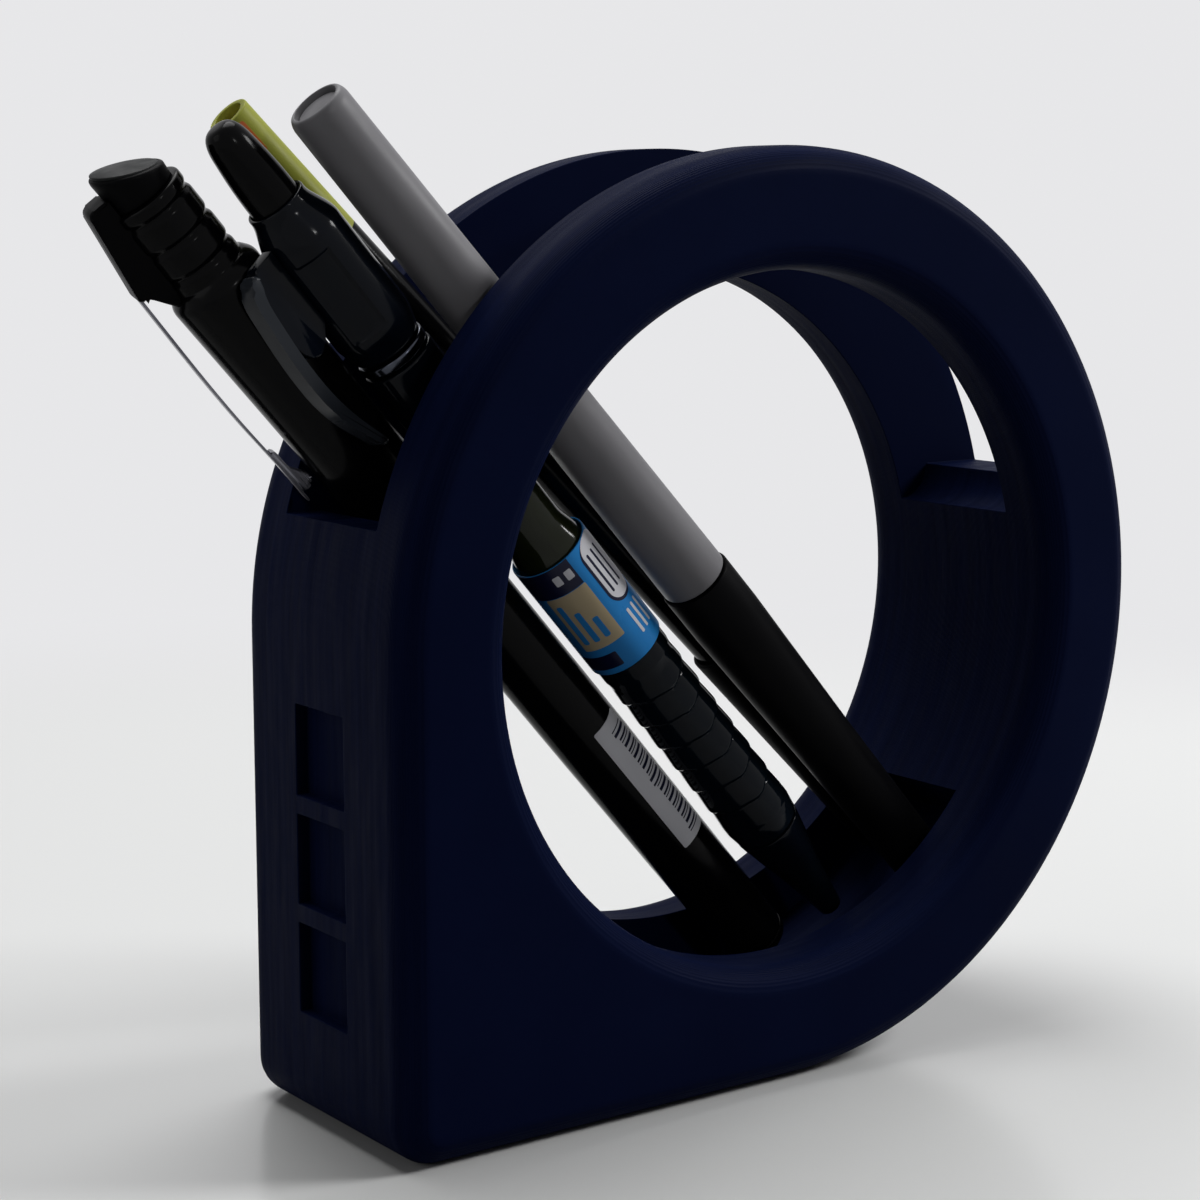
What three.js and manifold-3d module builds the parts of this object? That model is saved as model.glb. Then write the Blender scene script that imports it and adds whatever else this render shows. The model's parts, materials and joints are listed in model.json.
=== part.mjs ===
// A round desk pen holder with the four pens that lean in its slot.
//
// The holder stands on its squared foot. Its ring lies in the XZ plane, with the
// front cheek towards -Y. Lengths are millimetres, angles are degrees, +Z is up,
// and the origin is the middle of the flat foot.
import * as THREE from 'three';
import { mergeVertices } from 'three/addons/utils/BufferGeometryUtils.js';
import Module from 'manifold-3d';

const wasm = await Module();
wasm.setup();

// Driving dimensions of the holder
const ring_radius = 62.5;
const hole_radius = 46.5;
const holder_width = 40;
const slot_width = 22;
const edge_fillet = 4;
const foot_corner_radius = 5.5;
const ledge_rise = 16; // both ledges, above the ring's centre
const channel_wall = 7.5; // left under the channel that the pens stand in
const channel_end_deg = 38.4; // below the horizontal, on the right
const cove_radius = 5; // scooped from the inner edge of the right ledge
const recess_side = 11.8;
const recess_depth = 1.8;
const recess_pitch = 14.25;
const recess_first_drop = 13.4; // from the ring's centre to the middle of the first recess
const recess_count = 3;

// Fits
const touch_gap = 0.35; // between pieces that rest on or screw into each other
const running_gap = 0.4; // between pieces that slide in each other
const overrun = 3; // of a cutter past the face it opens

// Fineness
const fillet_steps = 4;
const ring_steps = 84;
const corner_steps = 6;
const cove_steps = 28;
const pen_sides = 24;
const inner_sides = 12;
const tooth_steps = 2;

// Capped roller pen, which leans on the left ledge with its cap up
const roller = {
  lean_deg: 48.5,
  side_gap: 0.5, // from the rear cheek to the cap
  barrel_radius: 5.1,
  tail_radius: 4.85,
  barrel_bore: 4,
  tail_taper: 45,
  tail_plug_head: 1.7,
  tail_plug_spigot: 3.8,
  tail_round: 0.6,
  length: 148.1,
  cap_radius: 5.8,
  cap_length: 59.7,
  cap_wall: 0.75,
  cap_tongue: 9, // of the barrel inside the cap
  cap_roof: 3,
  neck_length: 12.2,
  neck_radius: 5,
  neck_groove_radius: 4.6,
  neck_grooves: 3,
  neck_groove_share: 0.3, // of the grooves' pitch
  crown_radius: 3.95,
  crown_height: 4.6, // on the clip's side, where it is higher
  crown_slant_deg: 22,
  crown_peg_radius: 2.4,
  crown_peg_length: 3,
  section_radius: 4.3,
  section_nose_radius: 1.9,
  section_length: 20,
  section_straight: 9,
  point_radius: 0.95,
  point_tip_radius: 0.35,
  point_length: 2.8,
  reservoir_room: 7.2, // above the reservoir, inside the barrel
  clip_turn_deg: 15, // round the pen, from straight down the slope towards the rear
  clip_block_reach: 8.6,
  clip_block_top_reach: 6.3,
  clip_block_rise: 2.6, // beside the crown
  clip_block_height: 9.5,
  clip_block_width: 4.2,
  clip_width: 2.8,
  clip_thickness: 0.5,
  clip_ledge_room: 4.9, // along the pen, from the holder's ledge to the clip's end
  clip_bow: 0.5,
  clip_bead: 1.9, // how far the bead at the clip's end stands in towards the cap
  clip_bead_length: 5,
};

// Retractable gel pen, which leans on the roller pen with its button up
const gel = {
  lean_deg: 48.5,
  side_step: 6, // nearer the front cheek than the roller pen
  nose_lift: 3.8, // along the pen, so that the point can be clicked out
  nose_length: 18.7,
  nose_tip_radius: 1.7,
  nose_waist_radius: 2.8,
  nose_waist_height: 7.8,
  nose_top_radius: 4.9,
  nose_mouth_radius: 1,
  nose_mouth_length: 1.2,
  nose_throat_radius: 2.05,
  nose_throat_height: 6.5,
  nose_seat: 13, // of the spring, above the nose's tip
  nose_bore: 3,
  bottle_radius: 5,
  bottle_groove_radius: 4.4,
  bottle_crest_radius: 5.2,
  bottle_bore: 3.6,
  bottle_ribs: 5,
  bottle_rib_shares: [0.25, 0.75], // groove and crest, of a rib's pitch
  bottle_ribbed_length: 34.7,
  bottle_base_length: 2.2,
  bottle_neck_radius: 4.3,
  bottle_neck_length: 8.5,
  bottle_shoulder: 3,
  label_radius: 5.55,
  label_thickness: 0.2,
  label_length: 19,
  neck_cap_radius: 4.9,
  neck_cap_length: 22,
  collar_radius: 4.75,
  collar_length: 1.4,
  barrel_radius: 5.4,
  barrel_shoulder_radius: 4.6,
  barrel_mouth_radius: 3.95,
  barrel_length: 23.3,
  barrel_shoulder: 3.5,
  barrel_mouth_length: 1.2,
  barrel_taper: 3.6,
  barrel_bore: 3.75,
  button_radius: 3.1,
  button_top_radius: 2.5,
  button_show: 11.4,
  button_round: 1.6,
  plunger_radius: 2.3,
  plunger_length: 17,
  click_travel: 3.5,
  rotor_radius: 2.9,
  rotor_root_radius: 2.3,
  rotor_length: 9.5,
  rotor_teeth: 4,
  rotor_tooth_share: 0.5, // of a tooth's pitch
  point_inset: 0.8, // of the resting point above the nose's mouth
  point_tip_radius: 0.35,
  point_radius: 0.6,
  point_shoulder_radius: 1.3,
  point_length: 9.2,
  point_nib_length: 6.7,
  point_cone: 0.8,
  refill_radius: 2.8,
  refill_stem_radius: 1.5,
  refill_stem_length: 10.7,
  spring_radius: 2.6,
  spring_wall: 0.65,
  clip_turn_deg: 11, // round the pen, from straight down the slope towards the front
  clip_reach: 13.3,
  clip_shoulder_reach: 11.9,
  clip_end_reach: 9.7,
  clip_root_height: 8,
  clip_thickness: 2.2,
  clip_width: 3,
  clip_length: 27.2,
  clip_top_inset: 3.3,
  clip_height_shares: [0.26, 0.55, 0.93], // sweep, bow and shoulder, of the clip's length
};

// Marker that stands on its cap, against the front cheek
const marker = {
  lean_deg: 47,
  lead: 16.8, // past the gel pen, at the height of the ring's centre
  side_gap: 0.75,
  length: 147.3,
  cap_length: 63,
  cap_radius: 5.05,
  cap_waist_radius: 4.4,
  cap_end_radius: 3.3,
  cap_round: 1.2,
  cap_taper: 29,
  cap_straight: 8,
  cap_bore: 4.35,
  cap_nose_bore: 2.4,
  cap_floor: 8,
  cap_step: 36,
  barrel_radius: 4.75,
  barrel_end_radius: 3.95,
  barrel_round: 0.9,
  barrel_lip_radius: 3.5,
  barrel_bore: 3.3,
  end_plug_inset: 0.9,
  end_plug_length: 6,
  section_radius: 3.95,
  section_nose_radius: 2,
  section_length: 23,
  section_straight: 14,
  nib_radius: 1,
  nib_tip_radius: 0.45,
  nib_length: 8,
  reservoir_room: 6.7, // from the reservoir to the end plug
};

// Slim stick pen that stands on its cap, against the rear cheek
const stick = {
  lean_deg: 44,
  lead: 0.6, // past the marker, at the height of the ring's centre
  side_gap: 0.5,
  length: 150.2,
  cap_length: 45,
  cap_radius: 3.5,
  cap_wall: 0.45,
  cap_round: 0.8,
  cap_floor: 9,
  barrel_radius: 2.8,
  barrel_tongue_radius: 2.55,
  barrel_tongue: 22,
  barrel_bore: 2,
  end_plug_inset: 2,
  end_plug_length: 6,
  point_radius: 1.5,
  point_tip_radius: 0.4,
  point_length: 8,
  refill_radius: 1.4,
  refill_room: 19.2, // from the refill to the end plug
};

const ring_center_x = (ring_radius - foot_corner_radius) / 2;
const channel_radius = ring_radius - channel_wall;
const rad = THREE.MathUtils.degToRad;

// Colours and finishes
const finish = (color, roughness, metalness = 0, opacity = 1) =>
  new THREE.MeshStandardMaterial({ color, roughness, metalness, opacity, transparent: opacity < 1 });
const navy_print = finish(0x12173a, 0.62);
const black_plastic = finish(0x0c0c0e, 0.35);
const black_satin = finish(0x111114, 0.5);
const bright_metal = finish(0xc9ccd0, 0.25, 1);
const grey_plastic = finish(0x8b8a90, 0.45);
const smoke_plastic = finish(0x14203a, 0.15, 0, 0.7);
const clear_plastic = finish(0xa8c0c8, 0.12, 0, 0.5);
const yellow_plastic = finish(0xc9cf5a, 0.2, 0, 0.8);
const orange_plastic = finish(0xc8642d, 0.4);
const label_film = finish(0x3f9ad6, 0.4);
const felt = finish(0xd8d4cc, 0.95);
const ink_tube = finish(0x20242e, 0.3);
const brass = finish(0xb08d4a, 0.3, 1);

// Geometry helpers

// Lathe round the local z axis, from [radius, height] points that run upwards outside
function turned(points, sides = pen_sides) {
  const profile = points.map(([radius, height]) => new THREE.Vector2(radius, height));
  return new THREE.LatheGeometry(profile, sides).rotateX(Math.PI / 2);
}

// A tube is a closed loop: up the outside, then down the bore
function tube(outside, bore, sides = pen_sides) {
  const loop = [...outside, ...bore];
  return turned([...loop, loop[0]], sides);
}

// A solid of revolution, closed at both ends on the axis
function spindle(points, sides = pen_sides) {
  const low = points[0][1];
  const high = points[points.length - 1][1];
  return turned([[0, low], ...points, [0, high]], sides);
}

// An outline in x and z, as thick as width, centred on y = 0
function plate(outline, width) {
  const shape = new THREE.Shape(outline);
  const geometry = new THREE.ExtrudeGeometry(shape, { depth: width, bevelEnabled: false });
  return geometry.translate(0, 0, -width / 2).rotateX(Math.PI / 2);
}

// Angles in an outline are degrees counter-clockwise from +x
function point_at(x, z, radius, angle_deg) {
  const angle = rad(angle_deg);
  return new THREE.Vector2(x + radius * Math.cos(angle), z + radius * Math.sin(angle));
}

function arc(x, z, radius, from_deg, to_deg, steps) {
  const points = [];
  for (let i = 0; i <= steps; i += 1) {
    points.push(point_at(x, z, radius, from_deg + ((to_deg - from_deg) * i) / steps));
  }
  return points;
}

// A whole circle, whose last point isn't its first again
function circle(x, z, radius, steps) {
  return arc(x, z, radius, 0, 360, steps).slice(1);
}

function solid_of(geometry) {
  const bare = geometry.clone();
  bare.deleteAttribute('normal');
  bare.deleteAttribute('uv');
  const merged = mergeVertices(bare);
  return new wasm.Manifold(new wasm.Mesh({
    numProp: 3,
    vertProperties: new Float32Array(merged.attributes.position.array),
    triVerts: new Uint32Array(merged.index.array),
  }));
}

function geometry_of(solid) {
  const mesh = solid.getMesh();
  const geometry = new THREE.BufferGeometry();
  geometry.setAttribute('position', new THREE.BufferAttribute(mesh.vertProperties, 3));
  geometry.setIndex(new THREE.BufferAttribute(mesh.triVerts, 1));
  geometry.computeVertexNormals();
  return geometry;
}

// Holder, in the ring's frame: the origin is the ring's centre
function holder_geometry() {
  const corner = foot_corner_radius - ring_radius;
  const outline = new THREE.Shape([
    ...arc(0, 0, ring_radius, -90, 180, ring_steps),
    ...arc(corner, corner, foot_corner_radius, 180, 270, corner_steps),
  ]);
  outline.holes.push(new THREE.Path(circle(0, 0, hole_radius, ring_steps)));
  const blank = new THREE.ExtrudeGeometry(outline, {
    depth: holder_width - edge_fillet - edge_fillet,
    bevelThickness: edge_fillet,
    bevelSize: edge_fillet,
    bevelOffset: -edge_fillet,
    bevelSegments: fillet_steps,
  });
  blank.translate(0, 0, edge_fillet - holder_width / 2).rotateX(Math.PI / 2);

  // The slot opens everything above the ledges
  const slot_top = ring_radius + overrun;
  const slot = plate([
    new THREE.Vector2(-slot_top, ledge_rise),
    new THREE.Vector2(slot_top, ledge_rise),
    new THREE.Vector2(slot_top, slot_top),
    new THREE.Vector2(-slot_top, slot_top),
  ], slot_width);

  // The channel runs from the left ledge round the bottom to its end wall
  const channel = plate([
    new THREE.Vector2(-channel_radius, ledge_rise + overrun),
    ...arc(0, 0, channel_radius, 180, 360 - channel_end_deg, ring_steps / 2),
    point_at(0, 0, hole_radius - overrun, -channel_end_deg),
    new THREE.Vector2(0, ledge_rise + overrun),
  ], slot_width);

  // The cove under the right ledge starts on the wall of the hole
  const cove_x = Math.sqrt(hole_radius ** 2 - (ledge_rise - cove_radius) ** 2);
  const cutters = [slot, channel, plate(circle(cove_x, ledge_rise, cove_radius, cove_steps), slot_width)];

  for (let i = 0; i < recess_count; i += 1) {
    const recess = new THREE.BoxGeometry(recess_depth + overrun, recess_side, recess_side);
    const drop = recess_first_drop + i * recess_pitch;
    cutters.push(recess.translate((recess_depth - overrun) / 2 - ring_radius, 0, -drop));
  }
  const cut = (solid, cutter) => solid.subtract(solid_of(cutter));
  return geometry_of(cutters.reduce(cut, solid_of(blank)));
}

const holder = new THREE.Group();
const ring = new THREE.Group();
ring.position.set(ring_center_x, 0, ring_radius);
holder.add(ring);

function add(parent, name, geometry, material) {
  const mesh = new THREE.Mesh(geometry, material);
  mesh.name = name;
  parent.add(mesh);
  return mesh;
}

add(ring, 'holder_body', holder_geometry(), navy_print);

// Pens

// A pen's frame has its lower end at the origin and runs up its own +z. Its +x
// points up and away from the slope it lies on, and its y is the holder's.

// Where a pen's axis crosses the height of the ring's centre, if its side rests
// on a point of the given x and z
function crossing_on(x, z, lean_deg, radius) {
  const lean = rad(lean_deg);
  return x + (z * Math.cos(lean) + radius + touch_gap) / Math.sin(lean);
}

// How far past that crossing an end of the given radius meets the channel's floor
function reach_to_floor(crossing, lean_deg, end_radius) {
  const lean = rad(lean_deg);
  const floor = channel_radius - touch_gap;
  const reach = (side) => {
    const offset = crossing * Math.sin(lean) + side * end_radius;
    return Math.sqrt(floor ** 2 - offset ** 2) - crossing * Math.cos(lean);
  };
  return Math.min(reach(-1), reach(1));
}

function pen_group(crossing, place_y, lean_deg, reach) {
  const lean = rad(lean_deg);
  const group = new THREE.Group();
  group.position.set(crossing + reach * Math.cos(lean), place_y, -reach * Math.sin(lean));
  group.rotation.y = lean - Math.PI / 2;
  ring.add(group);
  return group;
}

// Roller pen
const roller_y = slot_width / 2 - roller.cap_radius - roller.side_gap;
const roller_crossing = crossing_on(-channel_radius, ledge_rise, roller.lean_deg, roller.cap_radius);
const roller_end_radius = roller.tail_radius - roller.tail_round;
const roller_reach = reach_to_floor(roller_crossing, roller.lean_deg, roller_end_radius);
const roller_pen = pen_group(roller_crossing, roller_y, roller.lean_deg, roller_reach);

// Where the pen rests on the holder's ledge, along the pen
const roller_ledge_height = roller_reach
  + (channel_radius + roller_crossing) * Math.cos(rad(roller.lean_deg))
  + ledge_rise * Math.sin(rad(roller.lean_deg));
const roller_cap_mouth = roller.length - roller.cap_length - touch_gap;
const roller_neck_top = roller.length - roller.crown_height - touch_gap;
const roller_neck_base = roller_neck_top - roller.neck_length;
const roller_tongue_radius = roller.cap_radius - roller.cap_wall - running_gap;
const roller_barrel_top = roller_cap_mouth + roller.cap_tongue;
const roller_plug_spigot_radius = roller.barrel_bore - touch_gap;

add(roller_pen, 'roller_tail_plug', spindle([
  [roller_end_radius, 0],
  [roller.tail_radius, roller.tail_round],
  [roller.tail_radius, roller.tail_plug_head],
  [roller_plug_spigot_radius, roller.tail_plug_head],
  [roller_plug_spigot_radius, roller.tail_plug_head + roller.tail_plug_spigot],
]), black_plastic);

const roller_barrel_low = roller.tail_plug_head + touch_gap;
add(roller_pen, 'roller_barrel', tube([
  [roller.tail_radius, roller_barrel_low],
  [roller.barrel_radius, roller.tail_taper],
  [roller.barrel_radius, roller_cap_mouth - touch_gap],
  [roller_tongue_radius, roller_cap_mouth - touch_gap],
  [roller_tongue_radius, roller_barrel_top],
], [
  [roller.barrel_bore, roller_barrel_top],
  [roller.barrel_bore, roller_barrel_low],
]), black_plastic);

const roller_reservoir_low = roller.tail_plug_head + roller.tail_plug_spigot + touch_gap;
add(roller_pen, 'roller_reservoir', spindle([
  [roller.barrel_bore - touch_gap, roller_reservoir_low],
  [roller.barrel_bore - touch_gap, roller_barrel_top - roller.reservoir_room],
], inner_sides), ink_tube);

const roller_section_low = roller_barrel_top + touch_gap;
const roller_section_top = roller_section_low + roller.section_length;
add(roller_pen, 'roller_section', spindle([
  [roller.section_radius, roller_section_low],
  [roller.section_radius, roller_section_low + roller.section_straight],
  [roller.section_nose_radius, roller_section_top],
], inner_sides), black_satin);

const roller_point_low = roller_section_top + touch_gap;
add(roller_pen, 'roller_point', spindle([
  [roller.point_radius, roller_point_low],
  [roller.point_tip_radius, roller_point_low + roller.point_length],
], inner_sides), bright_metal);

// The cap: a tube with a roof, a ribbed neck and the block that holds the clip
const roller_bore_radius = roller.cap_radius - roller.cap_wall;
const roller_groove_pitch = roller.neck_length / roller.neck_grooves;
const roller_groove_half = (roller_groove_pitch * roller.neck_groove_share) / 2;
const neck_profile = [[roller.neck_radius, roller_neck_base]];
for (let i = 0; i < roller.neck_grooves; i += 1) {
  const middle = roller_neck_base + (i + 1 / 2) * roller_groove_pitch;
  neck_profile.push([roller.neck_radius, middle - roller_groove_half]);
  neck_profile.push([roller.neck_groove_radius, middle]);
  neck_profile.push([roller.neck_radius, middle + roller_groove_half]);
}
neck_profile.push([roller.neck_radius, roller_neck_top]);
const roller_peg_hole_radius = roller.crown_peg_radius + touch_gap;
const roller_peg_hole_floor = roller_neck_top - roller.crown_peg_length - touch_gap;
const roller_cap_shell = turned([
  [0, roller_neck_base - roller.cap_roof],
  [roller_bore_radius, roller_neck_base - roller.cap_roof],
  [roller_bore_radius, roller_cap_mouth],
  [roller.cap_radius, roller_cap_mouth],
  [roller.cap_radius, roller_neck_base - roller.cap_wall],
  ...neck_profile,
  [roller_peg_hole_radius, roller_neck_top],
  [roller_peg_hole_radius, roller_peg_hole_floor],
  [0, roller_peg_hole_floor],
]);
const roller_block_low = roller_neck_top - roller.clip_block_height;
const roller_block_top = roller_neck_top + roller.clip_block_rise;
const roller_block_root = roller.neck_groove_radius - roller.cap_wall;
const clip_out = roller.clip_block_reach;
const clip_in = clip_out - roller.clip_thickness;
const roller_block = plate([
  new THREE.Vector2(roller_block_root, roller_neck_base),
  new THREE.Vector2(roller.cap_radius - roller.cap_wall / 2, roller_neck_base - roller.cap_wall),
  new THREE.Vector2(clip_in - touch_gap, roller_block_low),
  new THREE.Vector2(clip_out, roller_block_low),
  new THREE.Vector2(roller.clip_block_top_reach, roller_block_top),
  new THREE.Vector2(roller.crown_radius + touch_gap, roller_block_top),
  new THREE.Vector2(roller.crown_radius + touch_gap, roller_neck_top),
  new THREE.Vector2(roller_block_root, roller_neck_top),
], roller.clip_block_width);
const roller_clip_angle = Math.PI - rad(roller.clip_turn_deg);
roller_block.rotateZ(roller_clip_angle);
const roller_cap_solid = solid_of(roller_cap_shell).add(solid_of(roller_block));
add(roller_pen, 'roller_cap', geometry_of(roller_cap_solid), black_plastic);

// The crown's top slants down from the clip's side to the other
const roller_crown_blank = spindle([
  [roller.crown_peg_radius, roller_neck_top - roller.crown_peg_length],
  [roller.crown_peg_radius, roller_neck_top + touch_gap],
  [roller.crown_radius, roller_neck_top + touch_gap],
  [roller.crown_radius, roller.length + overrun],
]);
const crown_slope = Math.tan(rad(roller.crown_slant_deg));
const crown_far = roller.crown_radius + overrun;
const roller_crown_cut = plate([
  new THREE.Vector2(-crown_far, roller.length - (crown_far + roller.crown_radius) * crown_slope),
  new THREE.Vector2(crown_far, roller.length + overrun * crown_slope),
  new THREE.Vector2(crown_far, roller.length + crown_far),
  new THREE.Vector2(-crown_far, roller.length + crown_far),
], crown_far + crown_far);
roller_crown_cut.rotateZ(roller_clip_angle);
const roller_crown_solid = solid_of(roller_crown_blank).subtract(solid_of(roller_crown_cut));
add(roller_pen, 'roller_crown', geometry_of(roller_crown_solid), black_satin);

// The clip: a bowed strip with a bead that presses on the cap
const roller_clip_group = new THREE.Group();
roller_clip_group.rotation.z = roller_clip_angle;
roller_pen.add(roller_clip_group);
const clip_top = roller_block_low - touch_gap;
const clip_low = roller_ledge_height + roller.clip_ledge_room;
const bead_top = clip_low + roller.clip_bead_length;
const bead_middle = clip_low + roller.clip_bead_length / 2;
add(roller_clip_group, 'roller_clip', plate([
  new THREE.Vector2(clip_in, clip_top),
  new THREE.Vector2(clip_in + roller.clip_bow, (clip_top + bead_top) / 2),
  new THREE.Vector2(clip_in, bead_top),
  new THREE.Vector2(clip_in - roller.clip_bead, bead_middle),
  new THREE.Vector2(clip_in, clip_low),
  new THREE.Vector2(clip_out, clip_low),
  new THREE.Vector2(clip_out, bead_top),
  new THREE.Vector2(clip_out + roller.clip_bow, (clip_top + bead_top) / 2),
  new THREE.Vector2(clip_out, clip_top),
], roller.clip_width), bright_metal);

// Gel pen: it lies on the roller pen's cap, side by side across the slot
const gel_y = roller_y - gel.side_step;
const gel_apart = roller.cap_radius + gel.label_radius + touch_gap;
const gel_step = Math.sqrt(gel_apart ** 2 - gel.side_step ** 2) / Math.sin(rad(gel.lean_deg));
const gel_crossing = roller_crossing + gel_step;
const gel_reach = reach_to_floor(gel_crossing, gel.lean_deg, gel.nose_tip_radius) - gel.nose_lift;
const gel_pen = pen_group(gel_crossing, gel_y, gel.lean_deg, gel_reach);

const gel_bottle_low = gel.nose_length + touch_gap;
const gel_ribbed_low = gel_bottle_low + gel.bottle_base_length;
const gel_label_low = gel_ribbed_low + gel.bottle_ribbed_length + touch_gap;
const gel_label_top = gel_label_low + gel.label_length;
const gel_shoulder_low = gel_label_top + touch_gap;
const gel_neck_low = gel_shoulder_low + gel.bottle_shoulder;
const gel_bottle_top = gel_neck_low + gel.bottle_neck_length;
const gel_neck_cap_low = gel_bottle_top + touch_gap;
const gel_neck_cap_top = gel_neck_cap_low + gel.neck_cap_length;
const gel_collar_low = gel_neck_cap_top + touch_gap;
const gel_barrel_low = gel_collar_low + gel.collar_length + touch_gap;
const gel_barrel_top = gel_barrel_low + gel.barrel_length;
const gel_button_top = gel_barrel_top + gel.button_show;

add(gel_pen, 'gel_nose', tube([
  [gel.nose_tip_radius, 0],
  [gel.nose_waist_radius, gel.nose_waist_height],
  [gel.nose_top_radius - touch_gap, gel.nose_length - gel.bottle_base_length],
  [gel.nose_top_radius, gel.nose_length],
], [
  [gel.nose_bore, gel.nose_length],
  [gel.nose_bore, gel.nose_seat],
  [gel.nose_throat_radius, gel.nose_seat],
  [gel.nose_throat_radius, gel.nose_throat_height],
  [gel.nose_mouth_radius, gel.nose_mouth_length],
  [gel.nose_mouth_radius, 0],
]), smoke_plastic);

// The bottle: a base, wavy ribs, a straight stretch under the label, and a neck
const bottle_profile = [
  [gel.nose_top_radius, gel_bottle_low],
  [gel.bottle_crest_radius, gel_ribbed_low],
];
const bottle_rib_pitch = gel.bottle_ribbed_length / gel.bottle_ribs;
const [groove_share, crest_share] = gel.bottle_rib_shares;
for (let i = 0; i < gel.bottle_ribs; i += 1) {
  const base = gel_ribbed_low + i * bottle_rib_pitch;
  bottle_profile.push([gel.bottle_groove_radius, base + bottle_rib_pitch * groove_share]);
  bottle_profile.push([gel.bottle_crest_radius, base + bottle_rib_pitch * crest_share]);
}
add(gel_pen, 'gel_bottle', tube([
  ...bottle_profile,
  [gel.bottle_radius, gel_label_low - touch_gap],
  [gel.bottle_radius, gel_shoulder_low],
  [gel.bottle_neck_radius, gel_neck_low],
  [gel.bottle_neck_radius, gel_bottle_top],
], [
  [gel.bottle_bore, gel_bottle_top],
  [gel.bottle_bore, gel_bottle_low],
]), clear_plastic);

add(gel_pen, 'gel_label', tube([
  [gel.label_radius, gel_label_low],
  [gel.label_radius, gel_label_top],
], [
  [gel.label_radius - gel.label_thickness, gel_label_top],
  [gel.label_radius - gel.label_thickness, gel_label_low],
]), label_film);

add(gel_pen, 'gel_neck_cap', tube([
  [gel.neck_cap_radius, gel_neck_cap_low],
  [gel.neck_cap_radius, gel_neck_cap_top],
], [
  [gel.bottle_bore, gel_neck_cap_top],
  [gel.bottle_bore, gel_neck_cap_low],
]), smoke_plastic);

add(gel_pen, 'gel_collar', tube([
  [gel.collar_radius, gel_collar_low],
  [gel.collar_radius, gel_collar_low + gel.collar_length],
], [
  [gel.bottle_bore, gel_collar_low + gel.collar_length],
  [gel.bottle_bore, gel_collar_low],
]), bright_metal);

const gel_mouth_bore = gel.button_radius + running_gap;
add(gel_pen, 'gel_upper_barrel', tube([
  [gel.barrel_shoulder_radius, gel_barrel_low],
  [gel.barrel_radius, gel_barrel_low + gel.barrel_shoulder],
  [gel.barrel_radius, gel_barrel_top - gel.barrel_mouth_length - gel.barrel_taper],
  [gel.barrel_mouth_radius, gel_barrel_top - gel.barrel_mouth_length],
  [gel.barrel_mouth_radius, gel_barrel_top],
], [
  [gel_mouth_bore, gel_barrel_top],
  [gel_mouth_bore, gel_barrel_top - gel.barrel_mouth_length - gel.barrel_taper],
  [gel.barrel_bore, gel_barrel_low + gel.barrel_shoulder],
  [gel.barrel_bore, gel_barrel_low],
]), smoke_plastic);

const gel_plunger_top = gel_barrel_top - gel.click_travel;
const gel_plunger_low = gel_plunger_top - gel.plunger_length;
add(gel_pen, 'gel_button', spindle([
  [gel.plunger_radius, gel_plunger_low],
  [gel.plunger_radius, gel_plunger_top],
  [gel.button_radius, gel_plunger_top],
  [gel.button_radius, gel_barrel_top + gel.click_travel],
  [gel.button_top_radius, gel_button_top - gel.button_round],
  [gel.button_top_radius - gel.button_round / 2, gel_button_top],
]), black_plastic);

// The rotor: teeth that step round each time the button is pressed
const gel_rotor_top = gel_plunger_low - touch_gap;
const gel_rotor_low = gel_rotor_top - gel.rotor_length;
const rotor_pitch_deg = 360 / gel.rotor_teeth;
const rotor_tooth_deg = rotor_pitch_deg * gel.rotor_tooth_share;
const rotor_outline = [];
for (let i = 0; i < gel.rotor_teeth; i += 1) {
  const start = i * rotor_pitch_deg;
  const tooth = arc(0, 0, gel.rotor_radius, start, start + rotor_tooth_deg, tooth_steps);
  const root = arc(0, 0, gel.rotor_root_radius, start + rotor_tooth_deg, start + rotor_pitch_deg, tooth_steps);
  rotor_outline.push(...tooth, ...root);
}
const rotor = new THREE.ExtrudeGeometry(new THREE.Shape(rotor_outline), {
  depth: gel.rotor_length,
  bevelEnabled: false,
});
add(gel_pen, 'gel_rotor', rotor.translate(0, 0, gel_rotor_low), black_satin);

// The refill: a point, a stem that carries the spring, and the ink tube
const gel_point_low = gel.point_inset;
const gel_point_top = gel_point_low + gel.point_length;
add(gel_pen, 'gel_point', spindle([
  [gel.point_tip_radius, gel_point_low],
  [gel.point_radius, gel_point_low + gel.point_cone],
  [gel.point_radius, gel_point_low + gel.point_nib_length],
  [gel.point_shoulder_radius, gel_point_top - gel.point_cone],
  [gel.point_shoulder_radius, gel_point_top],
], inner_sides), bright_metal);

const gel_refill_low = gel_point_top + touch_gap;
const gel_refill_shoulder = gel_refill_low + gel.refill_stem_length;
add(gel_pen, 'gel_refill', spindle([
  [gel.refill_stem_radius, gel_refill_low],
  [gel.refill_stem_radius, gel_refill_shoulder],
  [gel.refill_radius, gel_refill_shoulder],
  [gel.refill_radius, gel_rotor_low - touch_gap],
], inner_sides), ink_tube);

add(gel_pen, 'gel_spring', tube([
  [gel.spring_radius, gel.nose_seat + touch_gap],
  [gel.spring_radius, gel_refill_shoulder - touch_gap],
], [
  [gel.spring_radius - gel.spring_wall, gel_refill_shoulder - touch_gap],
  [gel.spring_radius - gel.spring_wall, gel.nose_seat + touch_gap],
], inner_sides), bright_metal);

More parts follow.
